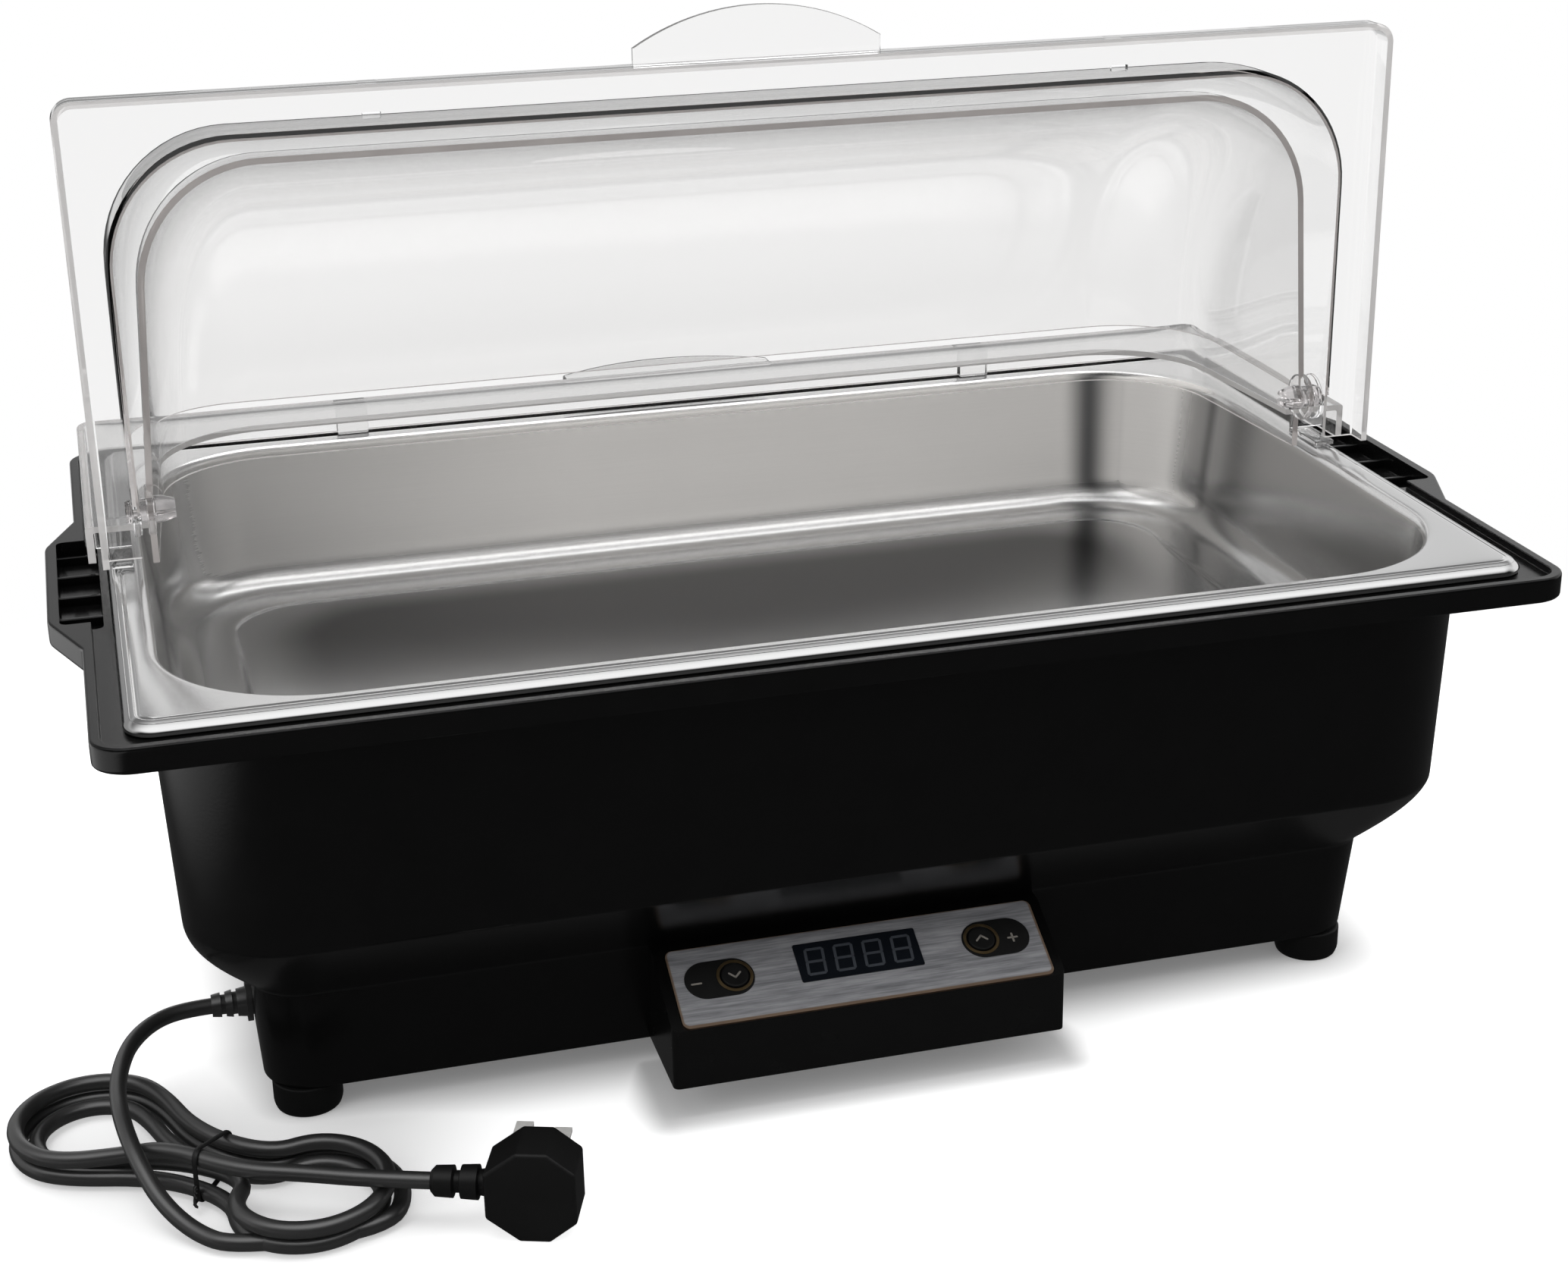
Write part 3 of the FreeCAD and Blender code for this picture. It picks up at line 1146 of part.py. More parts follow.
def biarc(start, start_way, end, end_way):
    """Two arcs that leave one point along its direction and reach the other along its own."""
    chord = end - start
    ways = start_way + end_way
    square = 2 * (1 - start_way.dot(end_way))
    if square < 1e-9:
        reach = chord.dot(chord) / (4 * chord.dot(end_way))
    else:
        along = chord.dot(ways)
        reach = (math.sqrt(along ** 2 + square * chord.dot(chord)) - along) / square
    joint = (start + end + (start_way - end_way) * reach) / 2
    edges = []
    for point, way, target in ((start, start_way, joint), (end, -end_way, joint)):
        span = target - point
        toward = Vector(span)
        toward.normalize()
        angle = way.getAngle(toward)
        if angle < 1e-6:
            edges.append(Part.LineSegment(point, target))
            continue
        lean = way + toward
        lean.normalize()
        middle = point + lean * (span.Length / (2 * math.cos(angle / 2)))
        edges.append(Part.Arc(point, middle, target))
    first, second = edges
    if isinstance(second, Part.LineSegment):
        second = Part.LineSegment(joint, end)
    else:
        second = Part.Arc(joint, second.value((second.FirstParameter + second.LastParameter) / 2),
                          end)
    return [first.toShape(), second.toShape()]


def hank_frame():
    turn = Rotation(Vector(0, 0, 1), size("hank_turn"))
    return Placement(Vector(size("hank_x"), size("hank_y"), 0), turn)


def lobe_touch(far, radius, waist):
    """Where a lobe's circle meets the waist's arc, and the direction there."""
    arc = (far ** 2 + waist ** 2 - radius ** 2) / (2 * (radius - waist))
    centre = (0.0, waist + arc)
    away = (centre[0] - far, centre[1])
    span = math.hypot(*away)
    touch = (far + away[0] / span * radius, away[1] / span * radius)
    return touch, (away[1] / span, -away[0] / span)


def hank_stations():
    """Points and directions round the hank: two loops inwards below, one outwards above."""
    step = size("hank_step")
    waist_out = 1.5 * step
    waist_in = 0.5 * step
    low, mid, high = size("hank_low"), size("hank_mid"), size("hank_high")
    stations = []

    def add(x, y, z, way):
        stations.append((Vector(x, y, z), Vector(way[0], way[1], 0)))

    def lobe(side, far, radii, waists, levels, entering=True, leaving=True):
        """One lobe, entered from the front on the right and from the back on the left."""
        first, second = radii
        if entering:
            (x, y), (ux, uy) = lobe_touch(far, first, waists[0])
            add(side * x, -side * y, levels[0], (side * ux, -side * uy))
        tip = far + first
        add(side * tip, 0, levels[1], (0, side))
        if leaving:
            (x, y), (ux, uy) = lobe_touch(tip - second, second, waists[1])
            add(side * x, side * y, levels[1], (-side * ux, -side * uy))

    def waist(side, offset, z):
        """Middle of a run: on the front heading right, on the back heading left."""
        add(0, side * offset, z, (-side, 0))

    right_far, left_far = size("hank_right_far"), size("hank_left_far")
    right_out, left_out = size("hank_right_radius"), size("hank_left_radius")
    right_in, left_in = right_out - step, left_out - step
    last = size("hank_last_radius")
    add(right_far - 2 * size("cord_radius"), -right_out, low, (1, 0))
    add(right_far, -right_out, low, (1, 0))
    lobe(1, right_far, (right_out, right_out), (waist_out, waist_out), (low, low), entering=False)
    waist(1, waist_out, low)
    lobe(-1, left_far, (left_out, left_out), (waist_out, waist_out), (low, low))
    waist(-1, waist_out, low)
    lobe(1, right_far, (right_in, right_in), (waist_out, waist_in), (low, low))
    waist(1, waist_in, low)
    lobe(-1, left_far, (left_in, left_in), (waist_in, waist_in), (low, low))
    waist(-1, waist_in, mid)
    lobe(1, right_far, (right_in, last), (waist_in, waist_out), (mid, mid))
    waist(1, waist_out, mid)
    lobe(-1, left_far, (left_out, left_out), (waist_out, waist_out), (mid, mid))
    waist(-1, waist_out, high)
    add(2 * size("cord_radius"), -waist_out, high, (1, 0))
    return stations


def least_self_gap(wire, radius):
    """Least clear distance of the tube to itself, between points over a diameter apart."""
    spacing = 2.0
    points = wire.discretize(Number=int(wire.Length / spacing))
    skip = int(6 * radius / spacing)
    least = 1e9
    for first in range(len(points)):
        for second in range(first + skip, len(points)):
            least = min(least, points[first].distanceToPoint(points[second]))
    return least - 2 * radius


def make_cords(tip):
    """Exit stretch, hank and lead: one cord from the gland to the plug."""
    radius = size("cord_radius")
    frame = hank_frame()
    stations = [(frame.multVec(point), frame.Rotation.multVec(way))
                for point, way in hank_stations()]
    edges = []
    for (start, start_way), (end, end_way) in zip(stations, stations[1:]):
        chord = end - start
        if chord.getAngle(start_way) < 1e-6:
            edges.append(Part.LineSegment(start, end).toShape())
        else:
            edges += biarc(start, start_way, end, end_way)
    wire = Part.Wire(edges)
    begin, begin_way = stations[0]
    finish, finish_way = stations[-1]
    ring = Part.Wire(Part.makeCircle(radius, begin, begin_way))
    hank = wire.makePipeShell([ring], True, False)
    share = hank.Volume / (math.pi * radius ** 2 * wire.Length)
    print("hank: length %.1f, least gap to itself %.2f, volume share %.4f"
          % (wire.Length, least_self_gap(wire, radius), share))
    solid_feature(hank, "power_cord_hank")
    y, z = size("gland_y"), size("gland_z")
    arrive = begin - begin_way * 18
    near = [(-25.5, 69, 25.2), (-30, 53, 24.5), (-32, 34, 24.4), (-31, 14, 24.2),
            (-27.5, -5, 20.2), (-20.5, -22.5, 10.5)]
    exit_points = [(-tip, y, z), (-tip - 12, y, z), (-tip - 23.5, y - 5.5, z - 0.6)]
    exit_points += [(size("hank_x") + dx, size("hank_y") + dy, dz) for dx, dy, dz in near]
    exit_points += [tuple(arrive), tuple(begin)]
    exit_solid, exit_length = rounded_route(exit_points, "exit", radius)
    solid_feature(exit_solid, "power_cord_exit")
    plug = plug_frame()
    relief_end = plug.multVec(Vector(-size("relief_long"), 0, 0))
    in_line = plug.multVec(Vector(-size("relief_long") - size("lead_end"), 0, 0))
    depart = finish + finish_way * 15
    turn = (size("hank_x") + 29, size("hank_y") - 30.5, finish.z)
    lead_points = [tuple(finish), tuple(depart), turn, tuple(in_line), tuple(relief_end)]
    lead_solid, lead_length = rounded_route(lead_points, "lead", radius)
    solid_feature(lead_solid, "power_cord_lead")
    total = exit_length + wire.Length + lead_length + size("relief_long")
    print("cord from gland to plug: %.0f mm" % total)


def make_tie():
    """Wire tie round the waist of the hank, with its two ends twisted together on top."""
    tie = size("tie_radius")
    radius = size("cord_radius")
    half = 1.5 * size("hank_step") + radius + tie + 0.3
    low = tie
    high = size("hank_high") + radius + tie + 0.3
    corner = radius
    corners = [(-half, low), (half, low), (half, high), (-half, high)]
    edges = []
    for index in range(4):
        y0, z0 = corners[index]
        y1, z1 = corners[(index + 1) % 4]
        way = Vector(0, y1 - y0, z1 - z0)
        way.normalize()
        start = Vector(0, y0, z0) + way * corner
        end = Vector(0, y1, z1) - way * corner
        edges.append(Part.LineSegment(start, end).toShape())
        y2, z2 = corners[(index + 2) % 4]
        following = Vector(0, y2 - y1, z2 - z1)
        following.normalize()
        inner = end + following * corner
        lean = (way - following) * (corner * math.sqrt(0.5))
        edges.append(Part.Arc(end, inner + lean, Vector(0, y1, z1) + following * corner).toShape())
    wire = Part.Wire(edges)
    ring = Part.Wire(Part.makeCircle(tie, edges[0].Vertexes[0].Point,
                                     edges[0].Vertexes[1].Point - edges[0].Vertexes[0].Point))
    band = wire.makePipeShell([ring], True, False)
    twist = Part.makeCone(2.2 * tie, 1.2 * tie, 9, Vector(0, -half / 3, high))
    return solid_feature(band.fuse(twist).removeSplitter(), "cord_tie", hank_frame())


def plug_frame():
    """Frame of the plug: x from the cord into the body, y out of the pins' side, z up."""
    turn = Rotation(Vector(0, 0, 1), size("plug_turn"))
    return Placement(Vector(size("hank_x") + size("plug_off_x"),
                            size("hank_y") - size("plug_off_y"), size("hank_high")), turn)


def make_plug():
    """Flat plug standing on its edge, with a ribbed strain relief and three flat pins."""
    place = plug_frame()
    long, half = size("plug_long"), size("plug_high") / 2
    low = -size("hank_high")
    body = new_body("plug_body")
    side = sketch_on(body, "side", "XZ_Plane")
    top = low + 2 * half
    outline(side, [(0, low + 9, 2), (12, low, 2), (long - 10, low, 2), (long, low + 8, 2),
                   (long, top - 8, 2), (long - 10, top, 2), (12, top, 2), (0, top - 9, 2)])
    block = pad(body, side, bound("plug_thick"), "Block", both=True)
    rims = [("Edge%d" % index) for index, edge in enumerate(block.Shape.Edges, start=1)
            if edge.BoundBox.YLength < 0.01]
    fillet(body, block, rims, 1.4, "Rims")
    keep(body, "plug_body", place)
    relief = new_body("plug_strain_relief")
    section = sketch_on(relief, "section", "XZ_Plane")
    reach = size("relief_long")
    neck = size("cord_radius") + 0.8
    outline(section, [(-reach, 0, 0), (-reach, neck, 0), (-reach + 1.5, neck + 1.6, 0),
                      (-reach + 8, neck + 1.9, 0), (-reach + 8.6, neck, 0),
                      (-reach + 10.4, neck, 0), (-reach + 11, neck + 2.1, 0),
                      (-3.4, neck + 2.4, 0), (-3, neck + 0.6, 0), (0, neck + 1.2, 0), (0, 0, 0)])
    revolve(relief, section)
    keep(relief, "plug_strain_relief", place)
    back = size("plug_thick") / 2
    wide, thick, far = size("pin_flat_wide"), size("pin_flat_thick"), size("pin_flat_long")
    pins = [flat_box(9.5 - wide / 2, 9.5 + wide / 2, back, back + far, 8.4, 8.4 + thick),
            flat_box(23.5 - wide / 2, 23.5 + wide / 2, back, back + far, 6.4, 6.4 + thick),
            flat_box(16.5 - thick / 2, 16.5 + thick / 2, back, back + far, -13, -13 + wide)]
    return solid_feature(Part.makeCompound(pins), "plug_pins", place)


def build():
    make_base_shell()
    make_bottom_cover()
    names = {(-1, -1): "front_left", (-1, 1): "rear_left", (1, -1): "front_right",
             (1, 1): "rear_right"}
    for (sx, sy), name in names.items():
        make_foot("foot_" + name, sx * size("foot_x"), sy * size("foot_y"))
    make_base_screws()
    make_bath()
    make_food_pan()
    make_lid_front()
    make_lid_rear()
    make_hinge_pin("hinge_pin_left", -1)
    make_hinge_pin("hinge_pin_right", 1)
    make_control_housing()
    make_control_plate()
    make_window()
    make_display()
    for side, name in ((-1, "down"), (1, "up")):
        make_button_field("button_field_" + name, side)
        make_button_ring("button_ring_" + name, side)
        make_button("button_" + name, side)
    make_control_board()
    make_board_screws()
    make_heater_plate()
    make_element()
    make_element_clamps()
    make_thermal_parts()
    make_heat_shield()
    make_power_board()
    make_terminal_block()
    tip = make_gland()[1]
    make_cords(tip)
    make_tie()
    make_plug()


build()
doc.recompute()
for item in doc.Objects:
    if "Invalid" in item.State or "Error" in item.State:
        raise ValueError("failed object: " + item.Name)
for item in nodes:
    if item.Shape.isNull() or not item.Shape.isValid() or not item.Shape.Solids:
        raise ValueError("bad shape: " + item.Label)
for item in nodes:
    item.Shape.exportStep("parts/%s.step" % item.Label)
print("%d sub-parts written" % len(nodes))
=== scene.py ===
import math
import bpy
import numpy as np
from mathutils import Matrix, Vector


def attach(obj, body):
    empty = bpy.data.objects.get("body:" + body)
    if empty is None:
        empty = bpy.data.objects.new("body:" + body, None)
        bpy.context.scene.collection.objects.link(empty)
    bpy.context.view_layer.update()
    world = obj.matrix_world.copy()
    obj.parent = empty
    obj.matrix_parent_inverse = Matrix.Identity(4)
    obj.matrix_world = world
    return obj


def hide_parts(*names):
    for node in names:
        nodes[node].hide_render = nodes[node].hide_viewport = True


# Electric chafing dish. Sizes of pieces are in millimetres about the centre of the pan, on the
# floor; placed() turns them into metres in the frame's own coordinates. The finishes, the
# floor's shadows and the lamps are in metres.

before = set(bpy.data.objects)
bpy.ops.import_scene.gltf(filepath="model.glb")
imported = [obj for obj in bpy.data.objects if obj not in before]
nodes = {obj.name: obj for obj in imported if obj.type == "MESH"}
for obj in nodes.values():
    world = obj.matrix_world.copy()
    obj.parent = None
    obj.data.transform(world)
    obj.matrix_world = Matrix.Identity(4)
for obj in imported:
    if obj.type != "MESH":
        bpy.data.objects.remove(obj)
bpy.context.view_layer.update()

# The pan's centre in the frame, and the height of the line that the cover turns about
PAN_CENTRE = np.array([0.0, -6.25, 0.0])
HINGE_Z = 214.5


def placed(points):
    """Millimetres about the pan's centre as metres in the frame."""
    return (np.asarray(points, float) + PAN_CENTRE) * 0.001


def linked(name, data):
    """A new object in the scene."""
    thing = bpy.data.objects.new(name, data)
    bpy.context.scene.collection.objects.link(thing)
    return thing


# Camera


def add_camera():
    """The photograph's view, fitted to the rim and the base."""
    right = Vector((0.96361, -0.26681, -0.01673))
    up = Vector((0.11264, 0.34848, 0.93052))
    back = -Vector((0.24244, 0.89853, -0.36585))
    data = bpy.data.cameras.new("camera")
    data.sensor_width = 36.0
    data.lens = 59.54
    data.clip_start = 0.02
    data.clip_end = 60.0
    camera = linked("camera", data)
    axes = Matrix((right, up, back)).transposed().to_4x4()
    axes.translation = Vector(placed((-258.75, -995.22, 532.47)))
    camera.matrix_world = axes
    bpy.context.scene.camera = camera


add_camera()


# Finishes


class Tone:
    """One socket of a finish. Arithmetic adds Math nodes, and add() makes any other node."""

    def __init__(self, tree, socket=None):
        self.tree = tree
        self.socket = socket

    def add(self, kind, sockets=None, out=0, **settings):
        """A node: its settings first, then the values or links of its sockets."""
        node = self.tree.nodes.new("ShaderNode" + kind)
        for name, value in settings.items():
            setattr(node, name, value)
        for name, value in (sockets or {}).items():
            if isinstance(value, Tone):
                self.tree.links.new(value.socket, node.inputs[name])
            else:
                node.inputs[name].default_value = value
        return Tone(self.tree, node.outputs[out] if len(node.outputs) else None)

    def worked(self, operation, other, first=None):
        values = {0: self if first is None else first, 1: other}
        return self.add("Math", values, operation=operation)

    def __add__(self, other):
        return self.worked("ADD", other)

    def __sub__(self, other):
        return self.worked("SUBTRACT", other)

    def __rsub__(self, other):
        return self.worked("SUBTRACT", self, other)

    def __mul__(self, other):
        return self.worked("MULTIPLY", other)

    def __pow__(self, other):
        return self.worked("POWER", other)

    __radd__ = __add__
    __rmul__ = __mul__

    def size(self):
        """The value without its sign."""
        return self.worked("ABSOLUTE", 0.0)

    def larger(self, other):
        return self.worked("MAXIMUM", other)

    def smaller(self, other):
        return self.worked("MINIMUM", other)

    def axis(self, name):
        """One part of a vector."""
        return self.add("SeparateXYZ", {0: self}, out=name)

    def between(self, low, high):
        """0 below low, 1 above high, and a smooth rise between them."""
        return self.add("MapRange", {"Value": self, "From Min": low, "From Max": high},
                        interpolation_type="SMOOTHSTEP")

    def pick(self, first, second):
        """The first colour where this tone is 0 and the second where it is 1."""
        return self.add("Mix", {0: self, 6: first, 7: second}, out=2, data_type="RGBA")

    def place(self):
        return self.add("TexCoord", out="Object")

    def layout(self):
        return self.add("UVMap")

    def stretched(self, vector, scale):
        return self.add("Mapping", {"Vector": vector, "Scale": scale})

    def noise(self, vector, scale, detail=3.0, rough=0.55):
        return self.add("TexNoise", {"Vector": vector, "Scale": scale, "Detail": detail,
                                     "Roughness": rough})

    def mirrored(self):
        """1 for rays that a surface has mirrored or let through."""
        return self.add("LightPath", out="Is Glossy Ray").larger(
            self.add("LightPath", out="Is Transmission Ray"))

    def straight(self):
        """1 for what the camera sees straight or through clear walls. A wall is entered and
        left, so an odd number of bounces means that the light was mirrored on the way."""
        even = 1.0 - self.add("LightPath", out="Ray Depth").worked("MODULO", 2.0)
        through = self.add("LightPath", out="Is Transmission Ray") * even
        return self.add("LightPath", out="Is Camera Ray").larger(through)

    def bump(self, height, strength, distance=0.001):
        return self.add("Bump", {"Height": height, "Strength": strength, "Distance": distance})


def outside(across, along, half_across, half_along):
    """Distance to a rectangle about the zero of both tones."""
    off_across = (across.size() - half_across).larger(0.0)
    off_along = (along.size() - half_along).larger(0.0)
    return (off_across * off_across + off_along * off_along) ** 0.5


def grey(value):
    """An opaque grey."""
    return (value, value, value, 1.0)


def empty_tree(holder):
    """The emptied node tree of a material or a world."""
    holder.use_nodes = True
    holder.node_tree.nodes.clear()
    return Tone(holder.node_tree)


def finish(name, constants, vary):
    """A material on the Principled shader; vary gives the sockets that change over it."""
    material = bpy.data.materials.new(name)
    tone = empty_tree(material)
    shader = tone.add("BsdfPrincipled", {**constants, **vary(tone)})
    tone.add("OutputMaterial", {"Surface": shader})
    return material


def moulded(dark, gloss, cloud=60.0, grain=900.0):
    """Moulded black plastic: faint clouds in its gloss and a very fine grain."""

    def vary(tone):
        where = tone.place()
        clouds = tone.noise(where, cloud, 2.0)
        fine = tone.noise(where, grain, 2.0)
        return {"Base Color": clouds.pick(grey(dark), grey(dark * 1.5)),
                "Roughness": clouds * 0.08 + gloss,
                "Normal": tone.bump(fine, 0.06, 0.0004)}

    return vary


def brushed(level, scratches, gloss):
    """Satin steel: fine scratches along the first direction of the piece's own layout."""

    def vary(tone):
        lines = tone.noise(tone.stretched(tone.layout(), (*scratches, 1.0)), 1.0, 4.0, 0.7)
        broad = tone.noise(tone.stretched(tone.layout(), (6.0, 30.0, 1.0)), 1.0, 2.0)
        return {"Base Color": lines.pick(grey(level * 0.93), grey(level)),
                "Roughness": lines * 0.05 + broad * 0.04 + gloss,
                "Normal": tone.bump(lines, 0.02, 0.0002)}

    return vary


def pan_look(tone):
    """Satin steel with painted light. The long walls and a bright area on the right back corner
    are blasted a little and also take the light from above; the walls' colour is painted light
    that runs from dark on the left to bright on the right, and the bright area is a painted
    highlight.
    A painted dark stripe, standing in for a reflection, stands beside the bright area, and the
    middle of the floor is painted near black where it is seen along its surface, a painted
    reflection. The steel is also painted lighter at the top of the mouth than below it, and a
    little lighter in the middle of the floor."""
    look = brushed(1.0, (14.0, 1500.0), 0.15)(tone)
    facing = tone.add("TexCoord", out="Normal")
    forward, to_left = facing.axis("Y") * -1.0, facing.axis("X") * -1.0
    across, along, height = (tone.place().axis(name) for name in "XYZ")
    above_floor = height.between(0.127, 0.140)

    # Painted reflection: the middle of the floor is painted near black where it is seen at a low
    # angle.
    middle = 1.0 - outside(across, along + 0.006, 0.15, 0.062).between(0.028, 0.068)
    low_view = (tone.add("LayerWeight", {"Blend": 0.5}, out="Facing")
                - across.between(0.0, 0.24) * 0.035)
    dark = middle * low_view.between(0.598, 0.648)
    # Painted light: the steel is lighter at the top of the mouth than below it, and a little
    # lighter in the middle of the floor.
    level = height.between(0.184, 0.190).pick(grey(0.52), grey(0.74))
    level = dark.pick(middle.pick(level, grey(0.58)), grey(0.08))

    # Painted highlight: a bright area on the right back corner, which is also less metallic and
    # rougher.
    painted_bright_area = (to_left.between(0.38, 0.56) * (1.0 - to_left.between(0.82, 0.97))
             * forward.between(0.0, 0.2) * above_floor)
    wall = (forward.size().between(0.50, 0.95) * above_floor).larger(painted_bright_area)
    # Painted light on the long walls: their colour runs from dark on the left to bright on the
    # right.
    clouds = tone.noise(tone.place(), 7.0, 2.0) * 0.12
    painted_sheen = (across.between(-0.24, -0.02) + clouds).pick((0.58, 0.57, 0.555, 1.0),
                                                         (1.0, 0.975, 0.945, 1.0))
    # Painted dark stripe beside the bright area, standing in for a reflection.
    painted_dark_stripe = ((1.0 - (to_left - 0.27).size().between(0.0, 0.24))
              * forward.between(0.2, 0.7) * height.between(0.120, 0.135))
    painted_tint = painted_dark_stripe.pick(wall.pick(level, painted_sheen), grey(0.13))
    look["Base Color"] = tone.add("Mix", {0: 1.0, 6: look["Base Color"], 7: painted_tint}, out=2,
                                  data_type="RGBA", blend_type="MULTIPLY")
    look["Metallic"] = 1.0 - wall * 0.88
    look["Roughness"] = look["Roughness"] + wall * 0.12
    return look


BODY_BLACK = finish("glossy_black", {"IOR": 1.45}, moulded(0.0022, 0.17))
BOX_BLACK = finish("box_black", {"IOR": 1.48}, moulded(0.0028, 0.22))
FOOT_RUBBER = finish("foot_rubber", {"IOR": 1.4}, moulded(0.004, 0.5, 90.0, 1400.0))
CORD_SHEATH = finish("cord_sheath", {"IOR": 2.2, "Coat Weight": 1.0, "Coat Roughness": 0.35},
                     moulded(0.016, 0.30, 40.0, 1800.0))
PLUG_BLACK = finish("plug_black", {"IOR": 1.45}, moulded(0.005, 0.40, 70.0, 2200.0))
TIE_BLACK = finish("tie_black", {}, moulded(0.008, 0.4))
PAN_STEEL = finish("pan_steel", {}, pan_look)
# The rim is the same steel as the pan but is given a lighter colour: painted light on the rolled
# rim.
RIM_STEEL = finish("rim_steel", {"Metallic": 1.0}, brushed(0.92, (14.0, 1500.0), 0.07))
BATH_STEEL = finish("bath_steel", {"Metallic": 1.0}, brushed(0.62, (14.0, 900.0), 0.30))

# The panel's slope and the middle of its lower edge
SLOPE = math.radians(27.1)
PANEL_Y, PANEL_Z = -157.9, 39.5


def plate_look(tone):
    """Brushed panel plate with a brown rim: long fine streaks with soft cloudy marks between."""
    where = tone.place()
    streaks = tone.noise(tone.stretched(where, (30.0, 1100.0, 2200.0)), 1.0, 4.0, 0.75)
    marks = tone.noise(tone.stretched(where, (40.0, 260.0, 520.0)), 1.0, 3.0, 0.65)
    both = (streaks * 0.5 + marks * 0.5).between(0.30, 0.70)
    steel = both.pick((0.16, 0.163, 0.175, 1), (0.42, 0.42, 0.44, 1))
    brown = marks.pick((0.10, 0.065, 0.045, 1), (0.26, 0.18, 0.12, 1))
    up = (where.axis("Y") - (PANEL_Y + PAN_CENTRE[1]) * 0.001) * (1.0 / math.cos(SLOPE))
    rim = outside(where.axis("X"), up - 0.018, 0.0716, 0.015).between(0.0019, 0.0025)
    return {"Base Color": rim.pick(steel, brown),
            "Roughness": streaks * 0.2 + 0.42,
            "Normal": tone.bump(streaks, 0.12, 0.0002)}


def speckled(name, constants, cloud, dark, light, grain, spread, gloss):
    """One colour that clouds over into another, with a finer unevenness in its gloss."""
    return finish(name, constants, lambda tone: {
        "Base Color": tone.noise(tone.place(), cloud).pick((*dark, 1.0), (*light, 1.0)),
        "Roughness": tone.noise(tone.place(), grain) * spread + gloss})


PLATE_METAL = finish("plate_metal", {"Metallic": 0.3}, plate_look)
PLATE_EDGE = speckled("plate_edge", {"Metallic": 1.0}, 160.0, (0.20, 0.12, 0.08),
                      (0.40, 0.27, 0.19), 500.0, 0.2, 0.25)
RING_GOLD = speckled("ring_gold", {"Metallic": 1.0}, 260.0, (0.22, 0.15, 0.07),
                     (0.42, 0.31, 0.17), 700.0, 0.2, 0.28)
KEY_BLACK = finish("key_black", {"IOR": 1.36}, moulded(0.005, 0.40, 200.0, 2600.0))
MARK_PALE = speckled("mark_pale", {}, 900.0, (0.16, 0.15, 0.14), (0.26, 0.24, 0.21),
                     900.0, 0.1, 0.5)
GLASS_DARK = speckled("display_dark", {"IOR": 1.4, "Coat Weight": 0.2, "Coat Roughness": 0.05},
                      60.0, (0.004, 0.005, 0.007), (0.008, 0.010, 0.014), 500.0, 0.06, 0.16)
SEGMENT_GREY = speckled("segment_grey", {"IOR": 1.5}, 300.0, (0.036, 0.041, 0.050),
                        (0.056, 0.063, 0.075), 800.0, 0.1, 0.35)
PIN_METAL = speckled("pin_metal", {"Metallic": 0.2}, 400.0, (0.62, 0.61, 0.59),
                     (0.86, 0.85, 0.83), 900.0, 0.15, 0.25)


def inner_finish(name, colour, metallic, gloss):
    """Plain parts under the bath: their colour with faint clouds and uneven gloss."""
    dark = (*(0.8 * part for part in colour), 1.0)

    def vary(tone):
        clouds = tone.noise(tone.place(), 120.0)
        return {"Base Color": clouds.pick(dark, (*colour, 1.0)),
                "Roughness": clouds * 0.15 + gloss}

    return finish(name, {"Metallic": metallic}, vary)


SCREW_STEEL = inner_finish("screw_steel", (0.55, 0.54, 0.52), 1.0, 0.3)
HEATER_ALU = inner_finish("heater_aluminium", (0.70, 0.70, 0.70), 1.0, 0.4)
ELEMENT_STEEL = inner_finish("element_steel", (0.30, 0.27, 0.24), 1.0, 0.4)
BOARD_GREEN = inner_finish("board_green", (0.03, 0.16, 0.07), 0.0, 0.45)
TERMINAL = inner_finish("terminal_plastic", (0.72, 0.70, 0.64), 0.0, 0.5)


def clear_finish(name, colour, roughness, smoke):
    """Clear cover plastic, greyer where it is seen along its surface. Lamps shine through it,
    so it leaves only a faint shadow, and it lets light straight through after five bounces."""
    material = bpy.data.materials.new(name)
    tone = empty_tree(material)
    clouds = tone.noise(tone.place(), 9.0, 2.0)
    smoky = (*(part * smoke for part in colour), 1.0)
    steep = tone.add("LayerWeight", {"Blend": 0.5}, out="Facing").between(0.30, 1.0)
    body = tone.add("BsdfPrincipled", {
        "Base Color": (steep + clouds * 0.03).pick((*colour, 1.0), smoky),
        "Roughness": clouds * 0.02 + roughness,
        "IOR": 1.46, "Transmission Weight": 1.0})
    through = tone.add("BsdfTransparent", {"Color": grey(0.94)})
    shadow = tone.add("LightPath", out="Is Shadow Ray")
    deep = tone.add("LightPath", out="Ray Depth").worked("GREATER_THAN", 5.0)
    mixed = tone.add("MixShader", {0: shadow.larger(deep), 1: body, 2: through})
    tone.add("OutputMaterial", {"Surface": mixed})
    return material


CLEAR = clear_finish("clear_cover", (0.965, 0.962, 0.960), 0.015, 0.72)
CLEAR_PIN = clear_finish("clear_pin", (0.93, 0.90, 0.90), 0.05, 0.85)


def edge_finish(name, dark, light, cover):
    """Cut edges of the clear sheets: a thin grey veil, a little warmer than the sheets, painted in
    place of the light and shade that the sheets carry along to their edges.
    """
    return finish(name, {"IOR": 1.46}, lambda tone: {
        "Base Color": tone.noise(tone.place(), 45.0).pick((*dark, 1.0), (*light, 1.0)),
        "Roughness": tone.noise(tone.place(), 300.0) * 0.2 + 0.12,
        "Alpha": tone.noise(tone.place(), 30.0) * 0.25 + cover})


